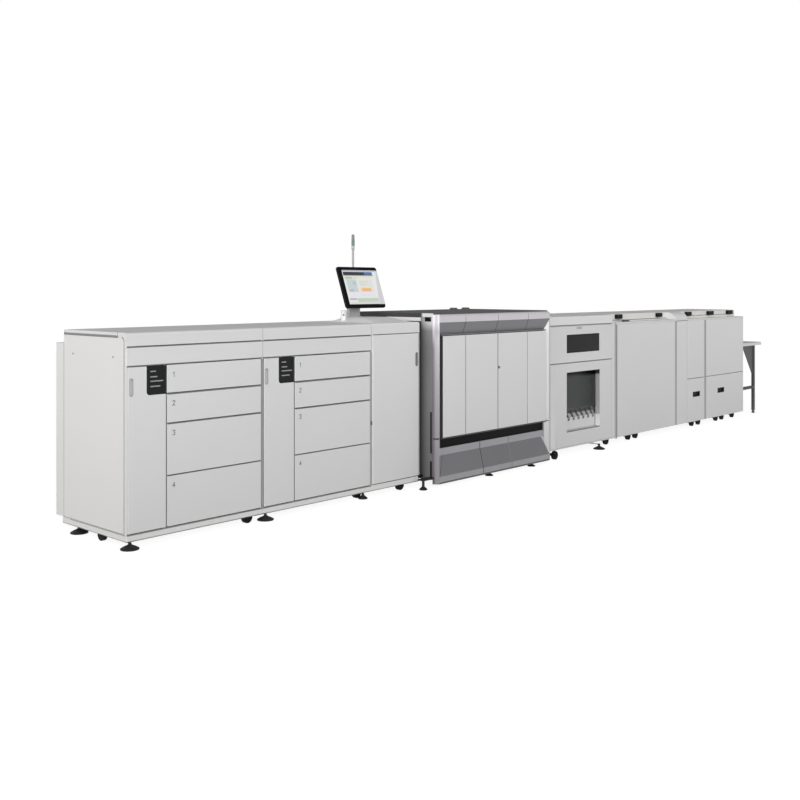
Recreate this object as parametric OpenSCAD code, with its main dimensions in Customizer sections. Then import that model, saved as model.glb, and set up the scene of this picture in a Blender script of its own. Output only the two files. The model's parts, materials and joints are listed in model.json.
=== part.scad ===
// Digital production printer: a line of floor-standing cabinets that feed, print, view and finish sheets.
// Millimetres. +X runs along the line, -Y is the operator's side and +Z is up.
// Shapes are drawn from the front left corner of the first cabinet; row() moves them to the part's origin,
// which is the bottom centre of the whole line.

/* [Low cabinets] */
// Height of the low cabinets, floor to lid
line_h = 1100; // [960:10:1300]
// Depth of a cabinet without its rear cover
cabinet_d = 630; // [560:10:760]
// Depth of the rear covers
rear_d = 95; // [60:5:160]
// Gap under the bases of the feeding cabinets
floor_gap = 33; // [26:1:60]
// Gap under the bases of the finishing cabinets
finish_gap = 44; // [34:1:70]
// Height of the base frames
base_h = 38; // [34:1:60]
// Thickness of the side panels
side_t = 6; // [4:1:10]
// Thickness of doors and tray fronts
front_t = 20; // [18:1:28]
// Gap between neighbouring fronts
gap = 5; // [3:0.5:8]
// Height of a lid's front
lid_front_h = 69; // [55:1:100]
// Thickness of a lid's top
lid_t = 20; // [12:1:30]
// Radius of the side panels' top front corner
shoulder_r = 43; // [20:1:60]
// Clearance between fixed pieces and their seats
seat = 0.3; // [0.1:0.1:0.6]

/* [Doors] */
// Distance of a hinge pin from the door's front and from its edge
hinge_in = 7; // [6:0.5:9]
// Diameter of the hinge pins
pin_d = 6; // [4:0.5:8]
// Length of pin inside a door
pin_len = 14; // [8:1:25]
// Radial clearance of a pin in its bore
pin_play = 0.1; // [0.05:0.05:0.3]
// Free depth behind a closed door
door_air = 8; // [6:1:20]
// Width of a handle slot
handle_w = 26; // [18:1:36]
// Height of a handle slot
handle_h = 94; // [60:2:140]
// Depth of a handle slot
handle_depth = 12; // [6:1:14]

/* [Paper modules] */
// Width of a paper module
paper_w = 883.5; // [760:0.5:1100]
// Width of the narrow door
paper_door_w = 228; // [180:2:280]
// Height of the middle fascia
mid_h = 97; // [80:1:130]
// Heights of the upper three tray fronts, from the top
upper_trays = [145.5, 152.5, 269.5];
// Depth of a tray's box
tray_d = 530; // [400:10:540]
// Sheet thickness of a tray's box
tray_wall = 3; // [2:0.5:5]
// Air between a tray's box and the bay's walls
tray_side_air = 16; // [14:1:30]
// Height and width of a runner
runner = [11, 12];
// Width of the status display
display_w = 120; // [80:2:150]
// Height of the status display
display_h = 150; // [90:2:180]

/* [Interface module] */
// Width of the interface module
interface_w = 458; // [400:2:560]
// Height of the raised hump on the lid
hump_h = 28; // [20:1:60]
// Screen width, height and thickness
screen = [379, 295, 34];
// Lean of the screen from upright
screen_lean = 20; // [5:1:35]
// Height of the screen's pivot above the hump
pivot_up = 132; // [100:2:200]
// Top of the signal lamp above the floor
lamp_top = 1706; // [1500:2:1900]

/* [Print engine] */
// Gap between the interface module and the engine
dock_gap = 25; // [15:1:40]
// Gap between the engine and the window module
exit_gap = 20; // [12:1:40]
// Width of the engine
engine_w = 1330; // [1200:10:1600]
// Height of the engine
engine_h = 1158; // [1120:2:1300]
// Depth of the engine's housing behind the fronts of the cabinets
engine_back = 680; // [600:10:760]
// How far the surround stands in front of the cabinets
engine_out = 134; // [126:2:160]
// Radius of the surround's pillars
pillar_r = 70; // [50:1:80]
// Distance of a pillar's nose from the engine's side
nose_in = 25; // [18:1:34]
// Distance of the doors from the engine's side
bevel_in = 62; // [54:1:80]
// Width of one outer panel of the engine
end_panel_w = 233; // [200:1:280]
// Thickness of the engine's doors
engine_door_t = 30; // [24:1:34]

/* [Window module] */
// Width of the window module
window_w = 1080; // [960:10:1200]
// Upper window width and height
upper_window_size = [491, 147];
// Lower window width and height
lower_window_size = [491, 470];
// Number of comb fingers in the tray
comb_count = 7; // [4:1:10]

/* [Finishing modules] */
// Width of the stacker
stacker_w = 1120; // [1000:10:1300]
// Width of the first finishing module
finisher_1_w = 594; // [520:2:700]
// Width of the second finishing module
finisher_2_w = 863; // [760:2:1000]
// Height of the front ledge under the lid's height
ledge_drop = 67; // [50:1:90]
// Depth of the front ledge
ledge_d = 100; // [70:2:140]
// Height of the joint between the bins and the upper panels
split_z = 465; // [400:5:540]

/* [End table] */
// Length of the end table
table_w = 453; // [360:1:560]
// Height of the end table
table_h = 750; // [650:5:850]

/* [Feet and casters] */
// Diameter of a levelling foot's pad
pad_d = 96; // [70:2:110]
// Diameter of a caster's wheel
wheel_d = 65; // [56:1:66]
// Radius of a levelling foot's stem
stem_r = 9; // [6:1:12]

/* [Hidden] */
$fn = 48;

// Colours
shell = [0.83, 0.83, 0.82];
light_metal = [0.78, 0.78, 0.80];
dark_trim = [0.42, 0.42, 0.45];
black_trim = [0.10, 0.10, 0.11];
steel = [0.62, 0.63, 0.64];

// Places along the line
interface_x = 2 * paper_w;
engine_x = interface_x + interface_w + dock_gap;
window_x = engine_x + engine_w + exit_gap;
stacker_x = window_x + window_w;
finisher_1_x = stacker_x + stacker_w;
finisher_2_x = finisher_1_x + finisher_1_w;
table_x = finisher_2_x + finisher_2_w;
line_w = table_x + table_w;
foot_in = 20;
row_left = foot_in - pad_d / 2;
row_back = cabinet_d + rear_d;
function row_origin() = [(row_left + line_w) / 2, (row_back - engine_out) / 2, 0];

// Heights and depths shared by the cabinets
edge = 1;
side_y = 3;
lid_edge_r = 14;
lid_z = line_h - lid_front_h;
panel_top = line_h - lid_t;
base_top = floor_gap + base_h;
floor_top = base_top + 10;
finish_base_top = finish_gap + base_h;
front_z = base_top + gap;
finish_side_z = finish_gap + 4;
finish_front_z = finish_gap + 1 + gap;
door_back = front_t + door_air;
frame_y = door_back + 2;
frame_back = cabinet_d + rear_d * 0.6;
plinth_chamfer = 7;
well = 84;
well_front = 26;
base_skin = 4.5;
foot_y = 0;
caster_y = door_back - 10;
finish_caster_y = door_back + 10;
rear_y = cabinet_d - 60;

// Outline helpers, all in two dimensions
function arc(c, r, from, to, steps = 8) =
    [for (i = [0:steps]) let (a = from + (to - from) * i / steps) c + r * [cos(a), sin(a)]];
function corner(c, r, from) = r > 0 ? arc(c, r, from, from + 90) : [c];
// Rectangle with one radius per corner: front left, front right, back right, back left
function plate(lo, hi, r = [0, 0, 0, 0]) = concat(
    corner([lo.x + r[0], lo.y + r[0]], r[0], 180),
    corner([hi.x - r[1], lo.y + r[1]], r[1], 270),
    corner([hi.x - r[2], hi.y - r[2]], r[2], 0),
    corner([lo.x + r[3], hi.y - r[3]], r[3], 90));
// Side view of a housing with a rounded shoulder at its top front corner
function shouldered(y0, y1, z0, z1, r) =
    concat([[y1, z0], [y1, z1]], arc([y0 + r, z1 - r], r, 90, 180), [[y0, z0]]);

module row() { translate(-row_origin()) children(); }
module slab(lo, hi) { translate(lo) cube(hi - lo); }
module along_x(x0, x1) {
    translate([x0, 0, 0]) rotate([90, 0, 90]) linear_extrude(x1 - x0) children();
}
// Extrudes a front view backwards from y0 to y1
module from_front(y0, y1) {
    translate([0, y1, 0]) rotate([90, 0, 0]) linear_extrude(y1 - y0) children();
}
module upright(z0, z1) { translate([0, 0, z0]) linear_extrude(z1 - z0) children(); }
module pin(at, z0, z1) { translate([at.x, at.y, z0]) cylinder(d = pin_d, h = z1 - z0); }
module pin_bore(at, z0, z1) {
    translate([at.x, at.y, z0]) cylinder(d = pin_d + 2 * pin_play, h = z1 - z0);
}
module slot_2d(w, h) {
    square([w, h - w], center = true);
    for (s = [-1, 1]) translate([0, s * (h - w) / 2]) circle(d = w);
}

// Cabinet pieces
module side_panel(x0, x1, z0 = base_top + seat) {
    along_x(x0, x1) polygon(shouldered(side_y, cabinet_d, z0, panel_top, shoulder_r));
}
// Recess that frames the outer face of the first side panel
module panel_groove() {
    w = 10;
    inner_r = shoulder_r - 14 - w * 0.8;
    along_x(-1, side_t - 2) difference() {
        polygon(shouldered(side_y + 14, cabinet_d + 1, 0, panel_top + 1, shoulder_r - 14));
        polygon(shouldered(side_y + 14 + w, cabinet_d + 2, base_top + gap, panel_top - 0.8 * w, inner_r));
    }
}
module lid(x0, x1) {
    along_x(x0 + edge, x1 - edge) difference() {
        polygon(shouldered(0, cabinet_d, lid_z, line_h, lid_edge_r));
        polygon(shouldered(side_y - seat, cabinet_d + 1, lid_z - 1, panel_top + seat, shoulder_r + seat));
    }
}
// Fixed front: a skin over the side panels' edges, and a thicker body between them
module fascia(x0, x1, z0, z1, back, panels = [side_t, side_t]) {
    upright(z0, z1) {
        polygon(plate([x0 + edge, 0], [x1 - edge, side_y - seat], [2, 2, 0, 0]));
        translate([x0 + panels[0] + seat, side_y - seat - 1])
            square([x1 - x0 - panels[0] - panels[1] - 2 * seat, back - side_y + seat + 1]);
    }
}
// Closed upper housing between the side panels, stepped back behind the fascia below the lid
module deck(x0, x1, z0) {
    along_x(x0 + side_t + seat, x1 - side_t - seat) difference() {
        polygon(shouldered(side_y, cabinet_d, z0, panel_top, shoulder_r));
        translate([side_y - 1, z0 - 1]) square([door_back - side_y + 1, lid_z - z0 + 1]);
    }
}
// Wells from below for the casters, under a closed skin at the front and at both sides
module wells(x0, x1, y0, gap_under, top, places) {
    for (at = places)
        slab([max(x0 + base_skin, at.x - well / 2),
              max(y0 + base_skin, at.y - (is_turned(at) ? well / 2 : well_front)), gap_under - 1],
             [min(x1 - base_skin, at.x + well / 2), at.y + well / 2, top - base_skin]);
}
// Base of a feeding cabinet: a plinth with a chamfered lower edge, raised between the side panels
module base_frame(x0, x1, places, left_r = 0) {
    low = floor_gap - 1;
    c = plinth_chamfer + 1;
    inner = [x0 + side_t + seat, x1 - side_t - seat];
    difference() {
        union() {
            upright(floor_gap, base_top) polygon(plate([x0, 0], [x1, frame_back], [3, 3, 0, left_r]));
            slab([inner[0], frame_y, base_top - 1], [inner[1], cabinet_d - seat, floor_top]);
        }
        along_x(x0 - 1, x1 + 1) polygon([[-1, low], [c, low], [-1, low + c + 1]]);
        if (left_r > 0)
            from_front(-1, row_back) polygon([[x0 - 1, low], [x0 + c, low], [x0 - 1, low + c + 1]]);
        wells(x0, x1, 0, floor_gap, base_top, places);
        wells(inner[0], inner[1], frame_y, floor_gap, floor_top, places);
    }
}
// Base of a finishing cabinet, set back behind its fronts and between its side panels
module set_back_frame(x0, x1, places) {
    difference() {
        slab([x0 + side_t + seat, frame_y, finish_gap], [x1 - side_t - seat, frame_back, finish_base_top]);
        for (at = places)
            slab([at.x - well / 2, at.y - well / 2, finish_gap - 1],
                 [at.x + well / 2, at.y + well / 2, finish_base_top - base_skin]);
    }
}
// Tab under a finishing door, with the lower hinge pin
module hinge_tab(at) {
    top = finish_front_z - gap;
    slab([at.x - 9, at.y - 5, top - 5], [at.x + 9, frame_y + 8, top]);
    pin(at, top - 4, finish_front_z + pin_len);
}
module rear_cover(x0, x1, z0, z1) {
    upright(z0, z1)
        polygon(plate([x0 + edge, cabinet_d + seat], [x1 - edge, row_back], [0, 0, 12, 12]));
}
// Pivot of a door, near its front corner so that the door turns clear of its neighbour
function door_axis(x, y0, hinge_right) =
    [hinge_right ? x[1] - hinge_in : x[0] + hinge_in, y0 + hinge_in];
function door_outline(x, y0, t, hinge_right) =
    plate([x[0], y0], [x[1], y0 + t], hinge_right ? [3, hinge_in, 0, 0] : [hinge_in, 3, 0, 0]);
module door_panel(x, z, y0, t, hinge_right) {
    at = door_axis(x, y0, hinge_right);
    difference() {
        upright(z[0], z[1]) polygon(door_outline(x, y0, t, hinge_right));
        pin_bore(at, z[0] - 1, z[0] + pin_len + 1);
        pin_bore(at, z[1] - pin_len - 1, z[1] + 1);
    }
}
module handle_cut(x, z) {
    from_front(-1, handle_depth) translate([x, z]) slot_2d(handle_w, handle_h);
}

// ---- Paper modules ----
function paper_x(i) = i * paper_w;
paper_door = [side_t + gap, side_t + gap + paper_door_w];
tray_x = [paper_door[1] + gap, paper_w - side_t - gap];
bay_x = [paper_door[1], paper_w - side_t];
mid_z = [lid_z - gap - mid_h, lid_z - gap];
trays_top = mid_z[0] - gap;
upper_total = upper_trays[0] + upper_trays[1] + upper_trays[2];
tray_h = concat(upper_trays, [trays_top - front_z - upper_total - 3 * gap]);
function tray_drop(i) = i == 0 ? 0 : tray_drop(i - 1) + tray_h[i - 1] + gap;
function tray_z(i) = trays_top - tray_drop(i) - tray_h[i];
tray_floor_up = 18;
tray_rim_down = 30;
bay_y = door_back + 32;
lid_seam_y = 82;
display_t = 3;
display_x = [paper_door[1] - display_w, paper_door[1] + 1];
display_z = [trays_top - display_h, trays_top + 1];

module runners(x, out) {
    for (i = [0:3]) {
        top = tray_z(i) + tray_floor_up - seat;
        ends = [x - out * 0.01, x + out * runner.x];
        slab([min(ends), bay_y, top - runner.y], [max(ends), cabinet_d - 20, top]);
    }
}
module paper_cabinet(i) {
    x0 = paper_x(i);
    x1 = x0 + paper_w;
    color(shell) {
        base_frame(x0, x1, paper_casters(i), i == 0 ? 60 : 0);
        pin(door_axis(paper_door + [x0, x0], 0, true), base_top - 4, front_z + pin_len);
        difference() {
            side_panel(x0, x0 + side_t);
            if (i == 0) panel_groove();
        }
        side_panel(x1 - side_t, x1);
        runners(x0 + bay_x[1], -1);
        slab([x0 + side_t + seat, bay_y, floor_top + seat], [x0 + bay_x[0], cabinet_d - seat, mid_z[0]]);
        runners(x0 + bay_x[0], 1);
        deck(x0, x1, mid_z[0] + seat);
        rear_cover(x0, x1, base_top + seat, line_h - 75);
    }
}
module paper_covers(i) {
    x0 = paper_x(i);
    x1 = x0 + paper_w;
    color(shell) {
        difference() {
            lid(x0, x1);
            if (i == 0) slab([-1, lid_seam_y, panel_top - 1], [4, lid_seam_y + 5, line_h + 1]);
        }
        fascia(x0, x1, mid_z[0], mid_z[1], door_back - seat);
        pin(door_axis(paper_door + [x0, x0], 0, true), trays_top - pin_len, mid_z[0] + 4);
    }
}
module display_face(x0, grow) {
    from_front(-1, display_t + grow)
        polygon(plate([x0 + display_x[0] - grow, display_z[0] - grow],
                      [x0 + display_x[1], display_z[1]], [18, 0, 0, 0]));
}
module paper_door_panel(i) {
    x0 = paper_x(i);
    color(shell) difference() {
        door_panel(paper_door + [x0, x0], [front_z, trays_top], 0, front_t, true);
        handle_cut(x0 + paper_door[0] + 18, trays_top - 104);
        display_face(x0, seat);
    }
}
module paper_display(i) {
    x0 = paper_x(i);
    color(black_trim) intersection() {
        upright(front_z, trays_top) polygon(door_outline(paper_door + [x0, x0], 0, front_t, true));
        display_face(x0, 0);
    }
}
module paper_tray(i, k) {
    x = tray_x + [paper_x(i), paper_x(i)];
    box_x = [paper_x(i) + bay_x[0] + tray_side_air, paper_x(i) + bay_x[1] - tray_side_air];
    box_z = [tray_z(k) + tray_floor_up, tray_z(k) + tray_h[k] - tray_rim_down];
    back = front_t + tray_d;
    color(shell) upright(tray_z(k), tray_z(k) + tray_h[k])
        polygon(plate([x[0], 0], [x[1], front_t], [3, 3, 0, 0]));
    color(steel) {
        difference() {
            slab([box_x[0], front_t - 1, box_z[0]], [box_x[1], back, box_z[1]]);
            slab([box_x[0] + tray_wall, front_t, box_z[0] + tray_wall],
                 [box_x[1] - tray_wall, back - tray_wall, box_z[1] + 1]);
        }
        for (s = [-1, 1]) {
            ends = s < 0 ? [box_x[0] - runner.x + 1, box_x[0] + 1] : [box_x[1] - 1, box_x[1] + runner.x - 1];
            slab([ends[0], front_t + 50, box_z[0]], [ends[1], back, box_z[0] + runner.y]);
        }
    }
}

// ---- Interface module ----
interface_door_x = [interface_x + side_t + gap, interface_x + interface_w - side_t - gap];
hump_x = [interface_x + 103, interface_x + 213, interface_x + interface_w - 8];
hump_y = [60, 300, 470, 500];
hump_top = line_h + hump_h;
hump_z = [line_h - 1, hump_top];
pivot = [interface_x + interface_w - 167, 407, hump_top + pivot_up];
pivot_r = 8;
lamp_y = 604;
stand_w = 96;
stand_y = [pivot.y - 10, pivot.y + 24];
knob_at = [interface_x + 154, 415];
knob_r = 20;
knob_h = 76;
lug_w = 40;
lug_r = 14;
module interface_cabinet() {
    x0 = interface_x;
    x1 = interface_x + interface_w;
    at = door_axis(interface_door_x, 0, false);
    color(shell) {
        base_frame(x0, x1, interface_casters);
        pin(at, base_top - 4, front_z + pin_len);
        side_panel(x0, x0 + side_t);
        side_panel(x1 - side_t, x1);
        slab([x0 + side_t + seat, bay_y, floor_top + seat],
             [x1 - side_t - seat, cabinet_d - seat, lid_z - seat]);
        deck(x0, x1, lid_z);
        pin(at, lid_z - gap - pin_len, lid_z + 4);
        rear_cover(x0, x1, base_top + seat, line_h - 75);
    }
}
module interface_cover() {
    color(shell) {
        lid(interface_x, interface_x + interface_w);
        intersection() {
            along_x(hump_x[0] - 1, hump_x[2]) polygon([
                [hump_y[0], hump_z[0]], [hump_y[1], hump_z[1]],
                [hump_y[2], hump_z[1]], [hump_y[3], hump_z[0]]]);
            from_front(0, cabinet_d) polygon([
                [hump_x[0], hump_z[0]], [hump_x[1], hump_z[1]],
                [hump_x[2], hump_z[1]], [hump_x[2], hump_z[0]]]);
        }
        translate([knob_at.x, knob_at.y, 0]) rotate_extrude() polygon(concat(
            [[0, line_h - 1], [knob_r, line_h - 1]],
            arc([knob_r - 5, line_h + knob_h - 5], 5, 0, 90), [[0, line_h + knob_h]]));
    }
}
module interface_door() {
    color(shell) difference() {
        door_panel(interface_door_x, [front_z, lid_z - gap], 0, front_t, false);
        handle_cut(interface_door_x[1] - 18, lid_z - 179);
    }
}
module monitor_stand() {
    ends = [pivot.x - stand_w / 2, pivot.x + stand_w / 2];
    slot = lug_w / 2 + seat;
    color(dark_trim) {
        difference() {
            along_x(ends[0], ends[1]) polygon(concat(
                [[stand_y[0] - 40, hump_top], [stand_y[1] + 16, hump_top], [stand_y[1] + 16, hump_top + 10],
                 [stand_y[1], hump_top + 14], [stand_y[1], pivot.z + 10]],
                arc([pivot.y, pivot.z], 10, 90, 180),
                [[stand_y[0], hump_top + 14], [stand_y[0] - 40, hump_top + 10]]));
            slab([pivot.x - slot, stand_y[0] - 1, pivot.z - lug_r - 6],
                 [pivot.x + slot, stand_y[1] + 1, pivot.z + 30]);
        }
        translate(pivot) rotate([0, 90, 0]) cylinder(r = pivot_r, h = stand_w - 10, center = true);
    }
}
// Screen drawn upright about its pivot, then leaned back
module monitor() {
    back_y = -16;
    front_y = back_y - screen.z;
    low = -88;
    color(black_trim) translate(pivot) rotate([-screen_lean, 0, 0]) difference() {
        union() {
            from_front(front_y, back_y)
                polygon(plate([-screen.x / 2, low], [screen.x / 2, low + screen.y], [16, 16, 16, 16]));
            along_x(-lug_w / 2, lug_w / 2)
                polygon(concat([[back_y - 1, -lug_r]], arc([0, 0], lug_r, -90, 90), [[back_y - 1, lug_r]]));
        }
        rotate([0, 90, 0]) cylinder(r = pivot_r + pin_play, h = lug_w + 2, center = true);
    }
}
module signal_lamp() {
    base = line_h;
    color(light_metal) translate([interface_x + interface_w - 32, lamp_y, 0]) rotate_extrude()
        polygon([[0, base], [20, base], [20, base + 8], [8, base + 14], [8, lamp_top - 112],
                 [11, lamp_top - 108], [11, lamp_top - 97], [10, lamp_top - 95], [11.5, lamp_top - 93],
                 [11.5, lamp_top - 34],
                 [10, lamp_top - 32], [11, lamp_top - 30], [10, lamp_top - 4], [6, lamp_top], [0, lamp_top]]);
}

// ---- Print engine ----
engine_end = engine_x + engine_w;
door_split = (engine_x + engine_end) / 2;
housing_y = -92;
housing_in = 6;
rim_y = -engine_out;
pillar_cy = rim_y + sqrt(pow(pillar_r, 2) - pow(pillar_r - nose_in, 2));
bevel_y = rim_y + 30;
door_face_y = rim_y + 4;
rim_top = engine_h - 8;
band_z = engine_h - 61;
bevel_z = engine_h - 142;
inlay_t = 4;
sill_z = [318, 323];
lintel_z = [bevel_z - 6, bevel_z];
engine_door_z = [sill_z[1] + gap, lintel_z[0] - gap];
kick_z = [22, 34, 72, 206, 253];
pillar_seam_z = [sill_z[0] + 2, sill_z[0] + 10];
kick_y = -100;
kick_in = 93;
seam = 2;
end_panel_x = [engine_x + bevel_in + 4, engine_x + bevel_in + 4 + end_panel_w];
left_door_x = [end_panel_x[1] + gap, door_split - gap / 2];
top_joints = [left_door_x[0] - gap / 2, door_split, 2 * door_split - left_door_x[0] + gap / 2];
kick_joints = [door_split - 169, door_split + 162];
function mirrored(x) = [2 * door_split - x[1], 2 * door_split - x[0]];

// Plan of the left pillar: an arc outside, a sharp nose and a bevel that runs in to the doors
function nose_angle() = 180 + acos((pillar_r - nose_in) / pillar_r);
function back_angle() = 180 + asin((pillar_cy - housing_y + seat) / pillar_r);
function pillar_outline() = concat(
    arc([engine_x + pillar_r, pillar_cy], pillar_r, back_angle(), nose_angle(), 14),
    [[engine_x + bevel_in, bevel_y], [engine_x + bevel_in, housing_y - seat]]);
// Everything that the pillar's bevel hides, used to mitre what meets it
function mitre_outline() = [
    [engine_x - 20, rim_y - 20], [engine_x + nose_in, rim_y - 20], [engine_x + nose_in, rim_y - seat],
    [engine_x + bevel_in + seat, bevel_y - seat], [engine_x + bevel_in + seat, housing_y + 20],
    [engine_x - 20, housing_y + 20]];
module both_ends() {
    children();
    translate([2 * door_split, 0, 0]) mirror([1, 0, 0]) children();
}
module between_pillars() {
    difference() {
        children();
        both_ends() upright(0, engine_h + 10) polygon(mitre_outline());
    }
}
module cut_joints(at, z0, z1) {
    difference() {
        children();
        for (x = at) slab([x - seam / 2, rim_y - 5, z0], [x + seam / 2, housing_y + 5, z1]);
    }
}
module engine_housing() {
    color(black_trim) {
        upright(60, engine_h) polygon(plate(
            [engine_x + housing_in, housing_y], [engine_end - housing_in, engine_back], [0, 0, 20, 20]));
        slab([engine_x + bevel_in + seat, bevel_y - 22, sill_z[0]],
             [engine_end - bevel_in - seat, housing_y - seat, sill_z[1]]);
        pin(door_axis(left_door_x, door_face_y, false), sill_z[0], engine_door_z[0] + pin_len);
        pin(door_axis(mirrored(left_door_x), door_face_y, true), sill_z[0], engine_door_z[0] + pin_len);
        slab([interface_x + interface_w + seat, 20, 62], [engine_x + housing_in - seat, 220, 90]);
        slab([engine_end - housing_in + seat, 120, 120], [window_x - seat, 320, 150]);
        slab([engine_x, -75, engine_h - 54], [engine_x + housing_in - seat, -26, engine_h - 27]);
        for (z = [[70, 176], [214, 500]])
            slab([engine_x + 2, -82, z[0]], [engine_x + housing_in + 1, -71, z[1]]);
        for (x = [engine_end - 260, engine_end - 110])
            translate([x, engine_back - 60, engine_h - 1]) cylinder(r1 = 36, r2 = 26, h = 14);
    }
}
module engine_surround() {
    color(light_metal) {
        both_ends() {
            upright(kick_z[0], pillar_seam_z[0]) polygon(pillar_outline());
            upright(pillar_seam_z[1], rim_top) polygon(pillar_outline());
            slab([engine_x, housing_y - 4, rim_top - 16], [engine_x + housing_in - seat, -4, engine_h]);
        }
        slab([engine_x, 14, engine_h - 53], [engine_x + housing_in - seat, 331, engine_h - 29]);
        between_pillars() cut_joints(top_joints, band_z - 50, rim_top + 1)
            along_x(engine_x + 1, engine_end - 1) polygon(concat(
                [[housing_y - seat, lintel_z[1] + seat], [housing_y - seat, rim_top]],
                arc([rim_y + 14, rim_top - 14], 14, 90, 180),
                [[rim_y, band_z + seat], [rim_y + inlay_t + seat, band_z + seat],
                 [bevel_y + inlay_t + seat, lintel_z[1] + seat]]));
        between_pillars() cut_joints(kick_joints, 0, kick_z[4] + 1)
            along_x(engine_x + 1, engine_end - 1) polygon([
                [housing_y - seat, kick_z[4]], [kick_y, kick_z[4]], [kick_y, kick_z[3]],
                [kick_y + inlay_t + seat, kick_z[3]], [rim_y + inlay_t + seat, kick_z[2]],
                [rim_y, kick_z[2]], [rim_y, kick_z[1]], [housing_y - seat, kick_z[1]]]);
    }
}
module engine_bevels() {
    color(dark_trim) {
        between_pillars() cut_joints(top_joints, band_z - 90, rim_top)
            along_x(engine_x + 1, engine_end - 1) polygon([
                [rim_y, band_z], [bevel_y, lintel_z[1] + seat],
                [bevel_y + inlay_t, lintel_z[1] + seat], [rim_y + inlay_t, band_z]]);
        slab([engine_x + bevel_in + seat, bevel_y - 22, lintel_z[0]],
             [engine_end - bevel_in - seat, housing_y - seat, lintel_z[1]]);
        pin(door_axis(left_door_x, door_face_y, false), engine_door_z[1] - pin_len, lintel_z[1]);
        pin(door_axis(mirrored(left_door_x), door_face_y, true), engine_door_z[1] - pin_len, lintel_z[1]);
        cut_joints(kick_joints, 0, kick_z[4]) intersection() {
            along_x(engine_x, engine_end) polygon([
                [kick_y, kick_z[3] - seat], [kick_y + inlay_t, kick_z[3] - seat],
                [rim_y + inlay_t, kick_z[2] + seat], [rim_y, kick_z[2] + seat]]);
            from_front(rim_y - 1, housing_y) polygon([
                [engine_x + nose_in + 8, kick_z[2]], [engine_end - nose_in - 8, kick_z[2]],
                [engine_end - kick_in, kick_z[3]], [engine_x + kick_in, kick_z[3]]]);
        }
        between_pillars()
            slab([engine_x + 1, rim_y + 3, kick_z[0]], [engine_end - 1, housing_y, kick_z[1] - seat]);
    }
}
module engine_end_panels() {
    color(shell) both_ends() upright(engine_door_z[0], engine_door_z[1])
        polygon(plate([end_panel_x[0], door_face_y], [end_panel_x[1], housing_y - seat], [3, 3, 0, 0]));
}
module engine_door(x, hinge_right) {
    color(shell) door_panel(x, engine_door_z, door_face_y, engine_door_t, hinge_right);
}

// ---- Window module ----
window_end = window_x + window_w;
window_core_y = 100;
window_split = line_h - 372;
window_seam = window_x + 224;
window_door_x = [window_seam + gap / 2, window_end - side_t - gap];
upper_window_at = [window_x + 385, line_h - 295];
lower_window_at = [window_x + 385, line_h - 920];
frame_depth = 43;
frame_rim = 12;
pane_t = 4;
comb_z = [lower_window_at.y - 10, lower_window_at.y + 90, lower_window_at.y + 155];
module window_core() {
    slab([window_x + side_t + seat, window_core_y, finish_base_top + seat],
         [window_end - side_t - seat, cabinet_d - seat, window_split - gap]);
}
module window_cabinet() {
    at = door_axis(window_door_x, 0, false);
    color(shell) {
        set_back_frame(window_x, window_end, window_casters);
        hinge_tab(at);
        side_panel(window_x, window_x + side_t, finish_side_z);
        side_panel(window_end - side_t, window_end, finish_side_z);
        window_core();
        deck(window_x, window_end, window_split - gap + seat);
        rear_cover(window_x, window_end, finish_base_top + seat, line_h - 75);
    }
}
module window_front() {
    at = door_axis(window_door_x, 0, false);
    color(shell) {
        lid(window_x, window_end);
        difference() {
            fascia(window_x, window_end, window_split, lid_z - gap, door_back - seat);
            from_front(-1, front_t) translate(upper_window_at)
                polygon(plate([0, 0], upper_window_size, [6, 6, 6, 6]));
        }
        pin(at, window_split - gap - pin_len, window_split + 4);
        fascia(window_x, window_seam - gap / 2 + edge, finish_front_z, finish_base_top + 2,
               door_back - seat, [side_t, edge]);
        fascia(window_x, window_seam - gap / 2 + edge, finish_base_top + seat, window_split - gap,
               window_core_y - seat, [side_t, edge]);
    }
}
module upper_window() {
    lo = upper_window_at + [seat, seat];
    hi = upper_window_at + upper_window_size - [seat, seat];
    color(black_trim) from_front(6, front_t - seat) polygon(plate(lo, hi, [6, 6, 6, 6]));
}
module window_door() {
    lo = lower_window_at;
    hi = lower_window_at + lower_window_size;
    rim = [frame_rim, frame_rim];
    color(shell) difference() {
        union() {
            door_panel(window_door_x, [finish_front_z, window_split - gap], 0, front_t, false);
            from_front(front_t - 1, frame_depth) polygon(plate(lo - rim, hi + rim, [6, 6, 6, 6]));
        }
        from_front(-1, frame_depth + 1) polygon(plate(lo, hi, [4, 4, 4, 4]));
    }
}
module window_pane() {
    lo = [lower_window_at.x + seat, comb_z[2] + 5];
    hi = lower_window_at + lower_window_size - [seat, seat];
    color([0.4, 0.45, 0.45, 0.4]) from_front(frame_depth - pane_t - 2, frame_depth - 2)
        polygon(plate(lo, hi, [4, 4, 4, 4]));
}
// Tray below the pane, with a sloped lip cut into fingers
module comb_tray() {
    x0 = lower_window_at.x - 6;
    x1 = x0 + lower_window_size.x + 12;
    pitch = (x1 - x0) / comb_count;
    front = frame_depth + 7;
    back = window_core_y - seat;
    color(light_metal) difference() {
        along_x(x0, x1) polygon([
            [front, comb_z[0]], [back, comb_z[0]], [back, comb_z[2]], [back - 6, comb_z[2]],
            [front, comb_z[1]]]);
        for (k = [0:comb_count - 1])
            slab([x0 + (k + 0.3) * pitch, front - 1, comb_z[1] + 4],
                 [x0 + (k + 0.7) * pitch, back - 4, comb_z[2] + 1]);
    }
}

// ---- Finishing modules ----
ledge_z = line_h - ledge_drop;
ledge_t = 12;
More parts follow.
